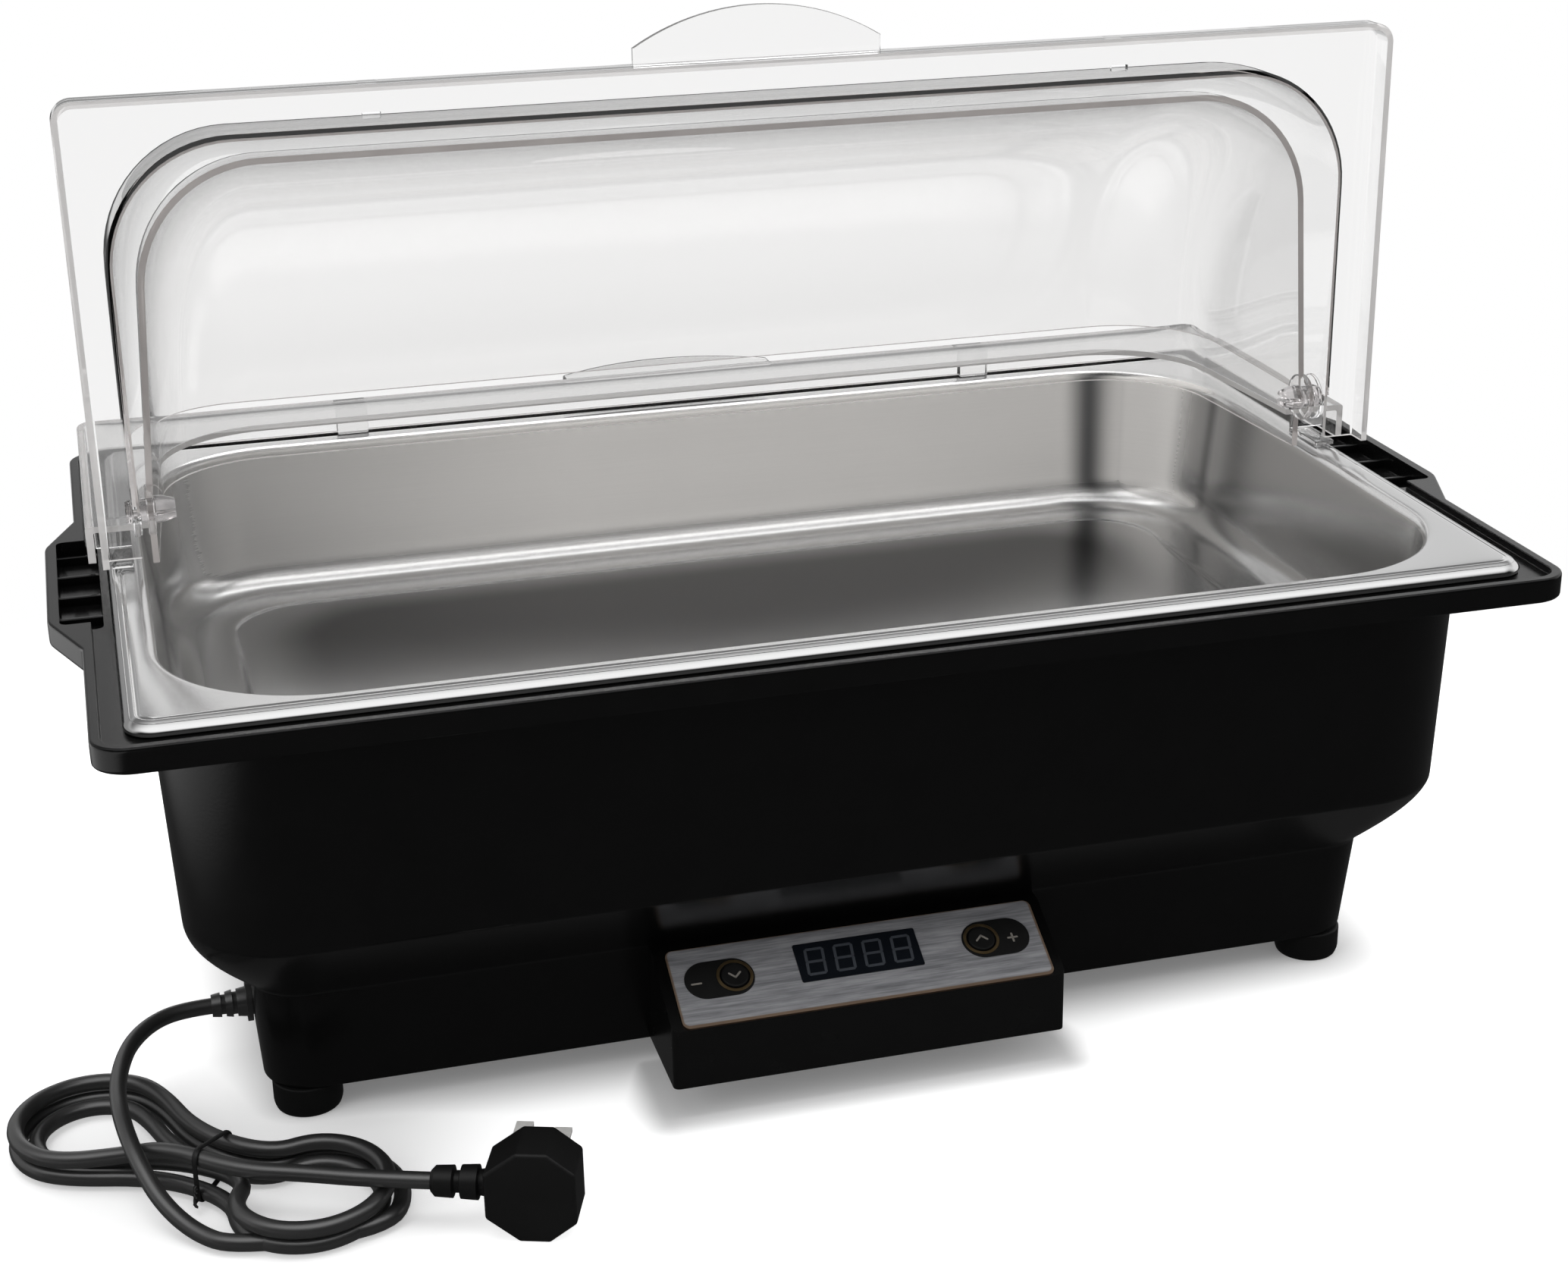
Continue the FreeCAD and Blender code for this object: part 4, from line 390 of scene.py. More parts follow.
# Painted light and shade on the cut edges: darker on the domes than on the flat sheets.
DOME_EDGE = edge_finish("dome_edge", (0.52, 0.48, 0.47), (0.70, 0.66, 0.64), 0.50)
SHEET_EDGE = edge_finish("sheet_edge", (0.82, 0.80, 0.79), (0.94, 0.92, 0.91), 0.58)


# Surfaces


def parabola(start, corner, end, steps):
    """Points of the curve that leaves start towards the corner and comes in to end from it."""
    share = np.arange(steps + 1)[:, None] / steps
    return list(start * (1 - share) ** 2 + corner * 2 * share * (1 - share) + end * share ** 2)


def at_height(flat, height):
    """The points of a plan at one height."""
    return np.column_stack([flat, np.full(len(flat), height)])


def round_angles(count):
    """Evenly spaced angles of a whole turn."""
    return np.arange(count) / count * 2 * math.pi


def both_sides(near, far):
    """Low and high end across, of a form on the left and of its twin on the right."""
    return (-far, -near), (near, far)


def softened(rows, steps=4, closed=False):
    """Rows (half length, half width, corner, height, rounding): each rounded row becomes a
    parabola that starts and ends that far along its neighbours, with a row beside each end."""
    rows = [np.array(row, float) for row in rows]
    count = len(rows)
    made = []
    for index, row in enumerate(rows):
        reach = row[4]
        ends = not closed and index in (0, count - 1)
        if reach <= 0 or ends:
            made.append(row[:4])
            continue
        sides = []
        for other in (rows[index - 1], rows[(index + 1) % count]):
            gap = other[:4] - row[:4]
            span = max(1e-9, float(np.linalg.norm(gap[[0, 1, 3]])))
            sides.append((gap, min(reach / span, 0.45), min(reach * 1.2 / span, 0.49)))
        (before, near, far), (after, near2, far2) = sides
        start, end = row[:4] + before * near, row[:4] + after * near2
        made.append(row[:4] + before * far)
        made += parabola(start, row[:4], end, steps)
        made.append(row[:4] + after * far2)
    return made


# Where points stand on the straight runs, as shares of half a run: on the ends they stand
# close where a lug, its well or its ribs begin
SIDE_SHARES = np.linspace(-1, 1, 13)[:-1]
END_SHARES = np.array(sorted(set(
    [sign * share for sign in (-1, 1) for share in
     (0.0, 0.06, 0.12, 0.18, 0.22, 0.25, 0.2605, 0.266, 0.2708, 0.2758, 0.281, 0.30, 0.36,
      0.42, 0.45, 0.4677, 0.4687, 0.55, 0.65, 0.75, 0.85, 0.93)] + [-1.0])))
CORNER_STEPS = 20


def ring(half_x, half_y, corner):
    """A rectangle with round corners, anticlockwise: straight runs at fixed shares of their
    length and quarter circles about the corner centres."""
    ix, iy = half_x - corner, half_y - corner
    parts = []
    for side in range(4):
        turn = side * math.pi / 2
        along, out = ((iy, half_x), (ix, half_y))[side % 2]
        shares = END_SHARES if side % 2 == 0 else SIDE_SHARES
        straight = np.stack([np.full(len(shares), out), shares * along], 1)
        angles = np.arange(CORNER_STEPS) / CORNER_STEPS * math.pi / 2
        arc = np.stack([out - corner + corner * np.cos(angles),
                        along + corner * np.sin(angles)], 1)
        run = np.concatenate([straight, arc])
        cos, sin = round(math.cos(turn)), round(math.sin(turn))
        parts.append(run @ np.array([[cos, sin], [-sin, cos]]))
    return np.concatenate(parts)


def ring_surface(rows, lug_rows=()):
    """Each row's ring at its height; on lug rows the ends are pushed out by lug_reach()."""
    layers = []
    for index, (half_x, half_y, corner, height) in enumerate(rows):
        flat = ring(half_x, half_y, corner)
        if index in lug_rows:
            flat[:, 0] += np.sign(flat[:, 0]) * lug_reach(flat[:, 1]) * (
                np.abs(flat[:, 0]) > half_x - 0.01)
        layers.append(at_height(flat, height))
    return np.array(layers)


def lug_reach(y):
    """How far the lugs stand out at y: 12 in the middle, falling in a straight line from 44
    to 76 off the centre, with a parabola over the first corner."""
    past = np.abs(y) - 44.0
    slope, soft = 12.0 / 32.0, 3.2
    bend = np.where(past < -soft, 0.0,
                    np.where(past < soft, (past + soft) ** 2 / (4 * soft) * slope, past * slope))
    return np.clip(12.0 - bend, 0.0, 12.0)


def arc_lengths(points, closed):
    """Running length along a line of points."""
    ring_points = np.concatenate([points, points[:1]]) if closed else points
    steps = np.linalg.norm(np.diff(ring_points, axis=0), axis=1)
    return np.concatenate([[0.0], np.cumsum(steps)])


def smooth(mesh, sharp=32.0):
    """Smooth shading, with edges that bend by more than the angle in degrees left sharp."""
    mesh.shade_smooth()
    mesh.set_sharp_from_angle(angle=math.radians(sharp))


def paint(mesh, *materials):
    """The mesh's materials, in the order of the numbers on its faces."""
    if mesh.materials:
        mesh.materials.clear()
    for material in materials:
        mesh.materials.append(material)


def mesh_of(name, grids):
    """One mesh from grids (points, closed across, closed along, caps): quads between
    neighbouring points, a fan over each capped end, and all faces turned outwards. The
    layout's first direction is the length along a row, its second the length across rows.
    A shell's last entries are the row where its outer face ends and its rims' material."""
    vertices, faces, layout, slots = [], [], [], []
    offset = 0
    for points, across, along, caps, *turning in grids:
        points = np.asarray(points, float)
        rows, cols = points.shape[:2]
        vertices.append(points.reshape(-1, 3))
        longest = np.argmax([arc_lengths(row, across)[-1] for row in points])
        u_line = arc_lengths(points[longest], across)
        v_line = arc_lengths(points[:, cols // 3], along)
        if not across:
            u_line = u_line[:cols]
        r_count = rows if along else rows - 1
        c_count = cols if across else cols - 1
        r, c = np.meshgrid(np.arange(r_count), np.arange(c_count), indexing="ij")
        r, c = r.ravel(), c.ravel()
        r2, c2 = (r + 1) % rows, (c + 1) % cols
        quads = np.stack([r * cols + c, r * cols + c2, r2 * cols + c2, r2 * cols + c], 1)
        u0, u1 = u_line[c], u_line[np.minimum(c + 1, len(u_line) - 1)]
        v0, v1 = v_line[r], v_line[np.minimum(r + 1, len(v_line) - 1)]
        corners = np.stack([np.stack([u0, v0], 1), np.stack([u1, v0], 1),
                            np.stack([u1, v1], 1), np.stack([u0, v1], 1)], 1)
        sign = signed_volume(points.reshape(-1, 3), quads)
        fans = []
        for row, forward in ((0, False), (rows - 1, True)):
            if (row == 0 and "low" in caps) or (row > 0 and "high" in caps):
                hub = len(vertices[-1])
                vertices[-1] = np.vstack([vertices[-1], points[row].mean(0)])
                ends = np.arange(c_count)
                a, b = row * cols + ends, row * cols + (ends + 1) % cols
                fan = np.stack([a, b, np.full(len(a), hub)], 1)
                fans.append(fan if forward else fan[:, ::-1])
        whole = sign + sum(signed_volume(vertices[-1], fan) for fan in fans)
        if whole < 0:
            quads = quads[:, ::-1]
            corners = corners[:, ::-1]
        for quad, corner in zip((quads + offset).tolist(), corners.tolist()):
            faces.append(quad)
            layout.extend(corner)
        rims = np.zeros(len(quads), int)
        if turning:
            rims[(r % turning[0] == turning[0] - 1) | (c == 0) | (c == c_count - 1)] = turning[1]
        slots.extend(rims.tolist())
        for fan in fans:
            fan = fan[:, ::-1] if whole < 0 else fan
            for face in fan.tolist():
                faces.append([index + offset for index in face])
                layout.extend(vertices[-1][index][:2].tolist() for index in face)
                slots.append(0)
        offset += len(vertices[-1])
    mesh = bpy.data.meshes.new(name)
    mesh.from_pydata(placed(np.concatenate(vertices)).tolist(), [], faces)
    uv = mesh.uv_layers.new(name="layout")
    uv.data.foreach_set("uv", (np.array(layout, np.float32) * 0.001).ravel())
    mesh.polygons.foreach_set("material_index", slots)
    smooth(mesh)
    return mesh


def signed_volume(points, faces):
    """Sum of the tetrahedra from the centre to each face's triangles."""
    middle = points.mean(0)
    total = 0.0
    for second in range(1, faces.shape[1] - 1):
        a, b, c = (points[faces[:, index]] - middle for index in (0, second, second + 1))
        total += float(np.einsum("ij,ij->", a, np.cross(b, c)))
    return total / 6


def piece(name, mesh, material, body, stands_for=()):
    """Puts a finished mesh in the scene, on its body, in place of its CAD nodes."""
    thing = linked(name, mesh)
    paint(mesh, *(material if isinstance(material, list) else [material]))
    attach(thing, body)
    if stands_for:
        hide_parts(*stands_for)
    return thing


def settle(thing):
    """Applies the piece's modifiers to its mesh."""
    graph = bpy.context.evaluated_depsgraph_get()
    made = bpy.data.meshes.new_from_object(thing.evaluated_get(graph))
    thing.modifiers.clear()
    thing.data = made


def cut_away(thing, name, grids, joined=False):
    """Cuts closed forms out of a piece; joined also makes its overlapping forms one."""
    cutter = linked(name, mesh_of(name, grids))
    change = thing.modifiers.new("cut", "BOOLEAN")
    change.operation = "DIFFERENCE"
    change.solver = "EXACT"
    change.use_self = joined
    change.object = cutter
    bpy.context.view_layer.update()
    settle(thing)
    bpy.data.objects.remove(cutter)
    smooth(thing.data)


def block(x_low, x_high, y_low, y_high, z_low, z_high, corner=0.5, round_edge=0.3):
    """Grid of a box with round upright corners and softened top and bottom edges."""
    half_x, half_y = (x_high - x_low) / 2, (y_high - y_low) / 2
    soft = min(round_edge, 0.45 * (z_high - z_low))
    inner = max(corner - soft, 0.01)
    turns = np.linspace(0, math.pi / 2, 5)
    size = np.array([half_x - soft, half_y - soft, inner])
    rows = [(*(size + soft * math.sin(t)), z_low + soft - soft * math.cos(t)) for t in turns]
    rows += [(*(size + soft * math.cos(t)), z_high - soft + soft * math.sin(t)) for t in turns]
    points = np.array([at_height(small_ring(*row), height) for *row, height in rows])
    points += np.array([(x_low + x_high) / 2, (y_low + y_high) / 2, 0.0])
    return points, True, False, ("low", "high")


def small_ring(half_x, half_y, corner, steps=6):
    """A rectangle with round corners of a few points each, for small parts."""
    ix, iy = half_x - corner, half_y - corner
    parts = []
    for turn, (cx, cy) in enumerate(((ix, iy), (-ix, iy), (-ix, -iy), (ix, -iy))):
        angles = (turn + np.arange(steps + 1) / steps) * math.pi / 2
        parts.append(np.column_stack([cx + corner * np.cos(angles), cy + corner * np.sin(angles)]))
    return np.concatenate(parts)


def turned(profile, around=48):
    """A profile of (radius, height) points carried round the upright axis."""
    angles = round_angles(around)
    profile = np.asarray(profile, float)
    x = profile[:, :1] * np.cos(angles)
    y = profile[:, :1] * np.sin(angles)
    z = np.repeat(profile[:, 1:2], around, 1)
    return np.stack([x, y, z], 2)


def soft_line(points, rounding, steps=4):
    """An open line of 2-D points whose inner corners are parabolas."""
    points = np.asarray(points, float)
    made = [points[0]]
    for index in range(1, len(points) - 1):
        here = points[index]
        spans = [points[index - 1] - here, points[index + 1] - here]
        shares = [min(0.45, rounding / max(1e-9, float(np.linalg.norm(span)))) for span in spans]
        start, end = here + spans[0] * shares[0], here + spans[1] * shares[1]
        made += parabola(start, here, end, steps)
    made.append(points[-1])
    return np.array(made)


# Moulded base


def make_base():
    """Closed profile carried round the tub: pedestal, knee, tapered wall, rim, lip, seat and
    inner wall; at the knee the ends follow a quarter ellipse and the sides a straight slope."""
    outer = [(227.8, 112.8, 20, 12.6, 0.8)]
    inner = []
    count = 14
    for step in range(count + 1):
        share = 1 - step / count
        run_x = 23 * (1 - math.cos(share * math.pi / 2))
        run_y = 33 * share
        height = 91 - share * 34
        edge = 1.2 if step in (0, count) else 0.0
        outer.append((252.4 - run_x, 152.4 - run_y, 42 - 22 * share, height, edge))
        inner.append((249.8 - run_x, 149.8 - run_y, 39.4 - 22 * share, height + 1.1, 0.0))
    outer += [(255.8, 155.8, 45.4, 178.7, 1.0), (276.5, 175.5, 13, 178.7, 1.4),
              (276.5, 175.5, 13, 188.4, 1.4), (272.5, 171.5, 9, 188.4, 0.6),
              (272.5, 171.5, 9, 185.4, 0.5), (253.2, 153.2, 43, 185.4, 0.5)]
    inner = [(225.2, 110.2, 17.4, 12.6, 0.5)] + inner + [(253.0, 153.0, 42.8, 178.0, 0.0)]
    soft = softened(outer + inner[::-1], closed=True)
    on_lug = [index for index, row in enumerate(soft) if row[0] > 273.6 and row[3] > 178.6]
    grid = ring_surface(soft, on_lug)
    base = piece("moulded_base", mesh_of("moulded_base", [(grid, True, True, ())]), BODY_BLACK,
                 "base", ["base_shell"])
    cut_away(base, "lug_wells", [block(low, high, -49, 49, 180.6, 192, 3.0, 0.6)
                                 for low, high in both_sides(268.0, 284.0)])
    rib, spacing = 2.2, 24.5
    ribs = [block(low, high, y, y + rib, 180.2, 184.2, 0.3, 0.5)
            for low, high in both_sides(267.6, 284.4) for y in np.arange(4) * spacing - 32.5]
    piece("lug_ribs", mesh_of("lug_ribs", ribs), BODY_BLACK, "base")


make_base()


# Pans


def pan_rows(half_x, half_y, corner, top, sheet, draft, depth, mouth_bend, floor_round):
    """Inner profile of a pressed pan: a quarter circle from the flange down into the drafted
    wall, and another from the wall on to the floor."""
    lean = math.atan2(draft, depth)
    low = top - depth + sheet
    size = np.array([half_x, half_y, corner])
    turns = np.linspace(0, math.pi / 2 - lean, 9)
    mouth = [(*(size + mouth_bend * (1 - math.sin(t))), top - mouth_bend * (1 - math.cos(t)))
             for t in turns]
    floor = [(*(size - draft - floor_round * (1 - math.cos(t))),
              low + floor_round * (1 - math.sin(t))) for t in turns]
    return mouth + floor


def underside(rows, sheet):
    """The rows from the floor up, moved out and down by the sheet's thickness."""
    return [tuple(np.array(row[:4]) + sheet * np.array([1, 1, 1, -1])) for row in rows[::-1]]


def make_food_pan():
    """Rolled rim, flat flange, bent mouth, drafted wall, round floor edge, and a floor that
    steps up by a millimetre inside a flat band; the underside follows 0.8 below."""
    top, depth, sheet = 190.8, 65, 0.8
    inside = pan_rows(250, 150, 60, top, sheet, draft=5, depth=depth, mouth_bend=4.2,
                      floor_round=14)
    low = top - depth + sheet
    inside += softened([(231, 131, 41, low, 0), (216, 116, 32, low, 3.0),
                        (212.5, 112.5, 29, low + 1.3, 3.0), (196, 96, 20, low + 1.3, 0)], 6)
    inside += [(150, 50, 15, low + 1.4), (101, 1.0, 0.9, low + 1.4)]
    rim = softened([(253.8, 153.8, 63.4, 190.0, 0), (262.6, 160.1, 8.6, 190.0, 0.3),
                    (262.6, 160.1, 8.6, 185.8, 0.2), (264.6, 162.1, 10.6, 185.8, 0.3),
                    (265, 162.5, 11, 187.2, 0.6)], 4)
    rolled = [(260.6 + 4.4 * out, 158.1 + 4.4 * out, 6.6 + 4.4 * out, 187.2 + 3.5 * up)
              for out, up in ((math.cos(t) ** 1.5, math.sin(t) ** 1.5)
                              for t in np.linspace(0, math.pi / 2, 15)[1:])]
    crease = [(260.0, 157.5, 6.0, 190.62), (259.6, 157.1, 5.6, 190.45), (259.2, 156.7, 5.2, 190.6),
              (258.6, 156.1, 4.8, 190.78), (256.5, 156.3, 66.3, top)]
    rim += rolled + crease
    under = underside(inside[1:-2], sheet)
    outline = under + rim[1:] + inside
    grid = ring_surface([row[:4] for row in outline])
    mesh = mesh_of("pan_well", [(grid, True, False, ("low", "high"))])
    first, last = len(under) - 1, len(under) + len(rim) - 3
    around = grid.shape[1]
    mesh.polygons.foreach_set("material_index", [
        int(first <= index // around < last) for index in range(len(mesh.polygons))])
    piece("steel_pan", mesh, [PAN_STEEL, RIM_STEEL], "food_pan", ["food_pan"])


make_food_pan()


def make_bath():
    """Flat flange, sharp mouth, drafted wall and flat floor; the underside follows 0.75 below."""
    inside = pan_rows(251.8, 151.8, 61, top=186.15, sheet=0.8, draft=6, depth=87.3,
                      mouth_bend=1.5, floor_round=12)
    inside += [(200, 100, 20, 98.8), (101, 1.0, 0.9, 98.8)]
    rim = [(260.55, 160.55, 69, 185.45), (260.55, 160.55, 69, 186.15)]
    grid = ring_surface([row[:4] for row in underside(inside[:-1], 0.75) + rim + inside])
    mesh = mesh_of("bath_well", [(grid, True, False, ("low", "high"))])
    piece("steel_bath", mesh, BATH_STEEL, "base", ["water_bath"])


make_bath()


# Clear cover: each half is worked out closed towards -Y, then turned to its place


def arch_line(half, top_half, radius, corner, start, steps=16):
    """Half section of the dome from one foot over the top to the other: (x, distance from the
    hinge line) along a leaning end wall, a round shoulder and the straight top."""
    lean = (half - top_half) / radius
    line = [(-half + lean * start, start), (-top_half, radius), (top_half, radius),
            (half - lean * start, start)]
    line = np.array(line)
    made = [line[0]]
    for index in (1, 2):
        here = line[index]
        before, after = line[index - 1] - here, line[index + 1] - here
        before /= np.linalg.norm(before)
        after /= np.linalg.norm(after)
        half_angle = math.acos(float(np.clip(before @ after, -1, 1))) / 2
        reach = corner / math.tan(half_angle)
        bisector = (before + after) / np.linalg.norm(before + after)
        centre = here + bisector * corner / math.sin(half_angle)
        start_way = here + before * reach - centre
        end_way = here + after * reach - centre
        first = math.atan2(start_way[1], start_way[0])
        last = math.atan2(end_way[1], end_way[0])
        swing = (last - first + math.pi) % (2 * math.pi) - math.pi
        previous = made[-1]
        entry = here + before * reach
        for share in np.linspace(0, 1, 9)[1:-1]:
            made.append(previous * (1 - share) + entry * share)
        for share in np.linspace(0, 1, steps + 1):
            angle = first + swing * share
            made.append(centre + corner * np.array([math.cos(angle), math.sin(angle)]))
    previous = made[-1]
    for share in np.linspace(0, 1, 9)[1:]:
        made.append(previous * (1 - share) + line[3] * share)
    return np.array(made)


def shell_grid(outer, inner, rim_material):
    """The two faces of a thin shell joined along all four edges into one closed grid."""
    rim_low = (outer[:, :1] + inner[:, :1]) / 2
    rim_high = (outer[:, -1:] + inner[:, -1:]) / 2
    loop = np.concatenate([outer, inner[::-1]], 0)
    low = np.concatenate([rim_low, rim_low[::-1]], 0)
    high = np.concatenate([rim_high, rim_high[::-1]], 0)
    return np.concatenate([low, loop, high], 1), False, True, (), len(outer), rim_material


def dome_faces(arch, wall, root_low, start, around=30):
    """Outer and inner face: the arch carried a quarter turn about the hinge line, then
    straight down to root_low."""
    half, top_half, radius, corner = arch
    faces = []
    for inset in (0.0, wall):
        line = arch_line(half - inset, top_half - inset, radius - inset, corner - inset, start)
        rows = []
        for angle in np.linspace(math.pi / 2, 0, around):
            rows.append(np.column_stack([line[:, 0], -line[:, 1] * math.cos(angle),
                                         line[:, 1] * math.sin(angle)]))
        for height in np.linspace(0, root_low, 4)[1:]:
            rows.append(at_height(line * (1, -1), height))
        faces.append(np.array(rows))
    return faces


def flange_faces(arch, wall, flange_half, flange_y, top, skirt, skirt_low, start, tuck):
    """Flange from the dome's wall out to its edge, then the skirt down, as one bent sheet.
    The inner line follows the dome's foot and the outer line the flange's round corners."""
    half, top_half, radius, corner = arch
    foot = arch_line(half - tuck, top_half - tuck, radius - tuck, corner - tuck, 0.0)

    def outline(grow):
        reach = flange_half + grow
        return arch_line(reach, reach, flange_y + grow, max(8.0 + grow, 0.4), 0.0)

    def level(line, height):
        """The line at its height: it stops short of the hinge line by -start, or its straight
        ends are carried on past the hinge line by start."""
        if start < 0:
            line = np.column_stack([line[:, 0], np.maximum(line[:, 1], -start)])
        else:
            lead = [(line[0, 0], -start * share) for share in (1.0, 0.5)]
            trail = [(line[-1, 0], -start * share) for share in (0.5, 1.0)]
            line = np.vstack([lead, line, trail])
        return at_height(line * (1, -1), height)

    def face(inset, rounding, height):
        """Level from the foot out to the rounded edge, then down to the skirt's end."""
        rows = [level(foot, height), level((foot + outline(-inset - rounding)) / 2, height)]
        for t in np.linspace(0, math.pi / 2, 5):
            rows.append(level(outline(-inset - rounding + rounding * math.sin(t)),
                              height - rounding * (1 - math.cos(t))))
        rows.append(level(outline(-inset), skirt_low))
        return np.array(rows)

    return face(0.0, 1.2, top), face(skirt, 0.8, top - wall)


def tab_grid(flange_y, depth, top, wall):
    """Half-moon tab: an arc through its two corners and its tip, closed by its root line."""
    half, side = 49.5, 6.0
    sag = depth - side
    radius = (half ** 2 + sag ** 2) / (2 * sag)
    centre = -flange_y - depth + radius
    reach = math.asin(half / radius)
    angles = np.linspace(-reach, reach, 33)
    edge = np.column_stack([radius * np.sin(angles), centre - radius * np.cos(angles)])
    edge = np.vstack([[-half, -flange_y + 1.2], edge, [half, -flange_y + 1.2]])
    middle = np.array([0.0, -flange_y - depth * 0.4])
    layers = [at_height(middle + (edge - middle) * inset, height) for inset, height in (
        (0.988, top - wall), (1.0, top - wall + 0.5), (1.0, top - 0.5), (0.988, top))]
    return np.array(layers), True, False, ("low", "high")


def disc_grid(x_low, x_high, radius, hole=0.0, around=36):
    """A disc across the hinge line with softened edges, with or without a round hole."""
    soft = min(0.5, 0.3 * (x_high - x_low))
    outer = [(radius - soft, x_low), (radius, x_low + soft), (radius, x_high - soft),
             (radius - soft, x_high)]
    angles = round_angles(around)
    rows = outer + ([(hole, x_high), (hole, x_low)] if hole else [])
    points = np.array([np.column_stack([np.full(around, x), r * np.cos(angles),
                                        r * np.sin(angles)]) for r, x in rows])
    return points, True, bool(hole), () if hole else ("low", "high")


def turn_grid(grid, turn):
    """Turns a grid to its place: raised about the hinge line, or lowered over the back."""
    points, *rest = grid
    flat = points.reshape(-1, 3)
    if turn == "raised":
        flat = np.column_stack([flat[:, 0], flat[:, 2], -flat[:, 1]])
    else:
        flat = np.column_stack([-flat[:, 0], -flat[:, 1], flat[:, 2]])
    flat = flat + np.array([0.0, 0.0, HINGE_Z])
    return (flat.reshape(points.shape), *rest)


def make_cover_half(name, node, body, arch, wall, flange, root_low, skirt, start, tab, turn, hole):
    """Dome, flange with skirt, half-moon tab and hinge discs; the rear half also has two
    stiffening blocks behind its tab and a foot at each hinge."""
    flange_half, flange_y, top = flange
    skirt_low = -23.4
    grids = [shell_grid(*dome_faces(arch, wall, root_low, 3.5), 1)]
    grids.append(shell_grid(*flange_faces(arch, wall, flange_half, flange_y, top, skirt,
                                          skirt_low, start, wall * 0.6), 2))
    grids.append(tab_grid(flange_y, tab, top, wall))
    for low, high in both_sides(arch[0] - wall - 0.3, arch[0] + 0.3):
        grids.append(disc_grid(low, high, 10.0, hole))
    if turn == "lowered":
        under = top - wall - 0.05
        stiffener = (143, 157, -flange_y + 1.5, -flange_y + 7.5, skirt_low, under, 1.0, 0.5)
        sole = (254.2, 263.2, -24.2, -0.8, skirt_low, -21.5, 0.5, 0.3)
        post = (254.2, 268.3, -24.2, -22.0, -21.4, under, 0.5, 0.3)
        for near, far, *rest in (stiffener, sole, post):
            grids += [block(low, high, *rest) for low, high in both_sides(near, far)]
    mesh = mesh_of(name, [turn_grid(grid, turn) for grid in grids])
    return piece(name, mesh, [CLEAR, DOME_EDGE, SHEET_EDGE], body, [node])


front = make_cover_half("cover_front", "lid_front", "cover_front",
                        arch=(252.5, 252.5, 145.5, 50.0), wall=2.5, flange=(266.0, 162.5, -11.5),
                        root_low=-13.9, skirt=2.5, start=15.0, tab=20.0, turn="raised", hole=3.06)
slots = [block(low, high, -150.8, -148.2, -20, -5, 0.4, 0.1)
         for low, high in both_sides(146.5, 153.5)]
cut_away(front, "flange_slots", [turn_grid(slot, "raised") for slot in slots], True)
make_cover_half("cover_rear", "lid_rear", "cover_rear",
                arch=(247.0, 238.5, 134.0, 50.0), wall=2.5, flange=(271.5, 165.0, -8.5),
                root_low=-23.3, skirt=3.0, start=-10.8, tab=23.0, turn="lowered", hole=3.0)


def copied(node, name, material, body, bevel=0.0):
    """A joined-up copy of a CAD node with smooth rounds and, if asked, softened edges."""
    mesh = nodes[node].data.copy()
    mesh.name = name
    thing = piece(name, mesh, material, body, [node])
    weld = thing.modifiers.new("weld", "WELD")
    weld.merge_threshold = 0.00001
    settle(thing)
    if "custom_normal" in thing.data.attributes:
        thing.data.attributes.remove(thing.data.attributes["custom_normal"])
    smooth(thing.data, 30.0)
    if bevel:
        edge = thing.modifiers.new("bevel", "BEVEL")
        edge.width = bevel * 0.001
        edge.segments = 3
        edge.limit_method = "ANGLE"
        edge.angle_limit = math.radians(40)
        edge.harden_normals = True
        settle(thing)
    return thing


for side_name in ("left", "right"):
    copied("hinge_pin_" + side_name, "cover_pin_" + side_name, CLEAR_PIN, "cover_rear")


# Control box


copied("control_housing", "control_box", BOX_BLACK, "base", 1.6)


def on_panel(points):
    """Points drawn on the panel (across, up the slope, proud of it) in the frame's place."""
    points = np.asarray(points, float)
    flat = points.reshape(-1, 3)
    across, up, proud = flat.T
    out = np.column_stack([across, PANEL_Y + up * math.cos(SLOPE) - proud * math.sin(SLOPE),
                           PANEL_Z + up * math.sin(SLOPE) + proud * math.cos(SLOPE)])
    return out.reshape(points.shape)


plate = copied("control_plate", "panel_plate", PLATE_METAL, "base")
plate.data.materials.append(PLATE_EDGE)
for face in plate.data.polygons:
    face.material_index = int(face.normal.z < 0.8 * math.cos(SLOPE))
copied("display_window", "display_pane", GLASS_DARK, "base", 0.2)
for way in ("down", "up"):
    copied("button_field_" + way, "key_field_" + way, KEY_BLACK, "base", 0.15)
    copied("button_ring_" + way, "key_ring_" + way, RING_GOLD, "base", 0.08)
    copied("button_" + way, "key_" + way, KEY_BLACK, way + "_key")


def bar(x0, y0, x1, y1, wide, low, high):
    """A thin bar between two points of the panel, with round ends."""
    start, end = np.array([x0, y0]), np.array([x1, y1])
    way = (end - start) / np.linalg.norm(end - start)
    across = np.array([-way[1], way[0]])
    angles = np.linspace(-math.pi / 2, math.pi / 2, 7)
    half = wide / 2
    first = [end + half * (way * math.cos(t) + across * math.sin(t)) for t in angles]
    second = [start - half * (way * math.cos(t) + across * math.sin(t)) for t in angles]
    edge = np.array(first + second)
    layers = [at_height(edge, height) for height in (low, high)]
    return on_panel(layers), True, False, ("low", "high")


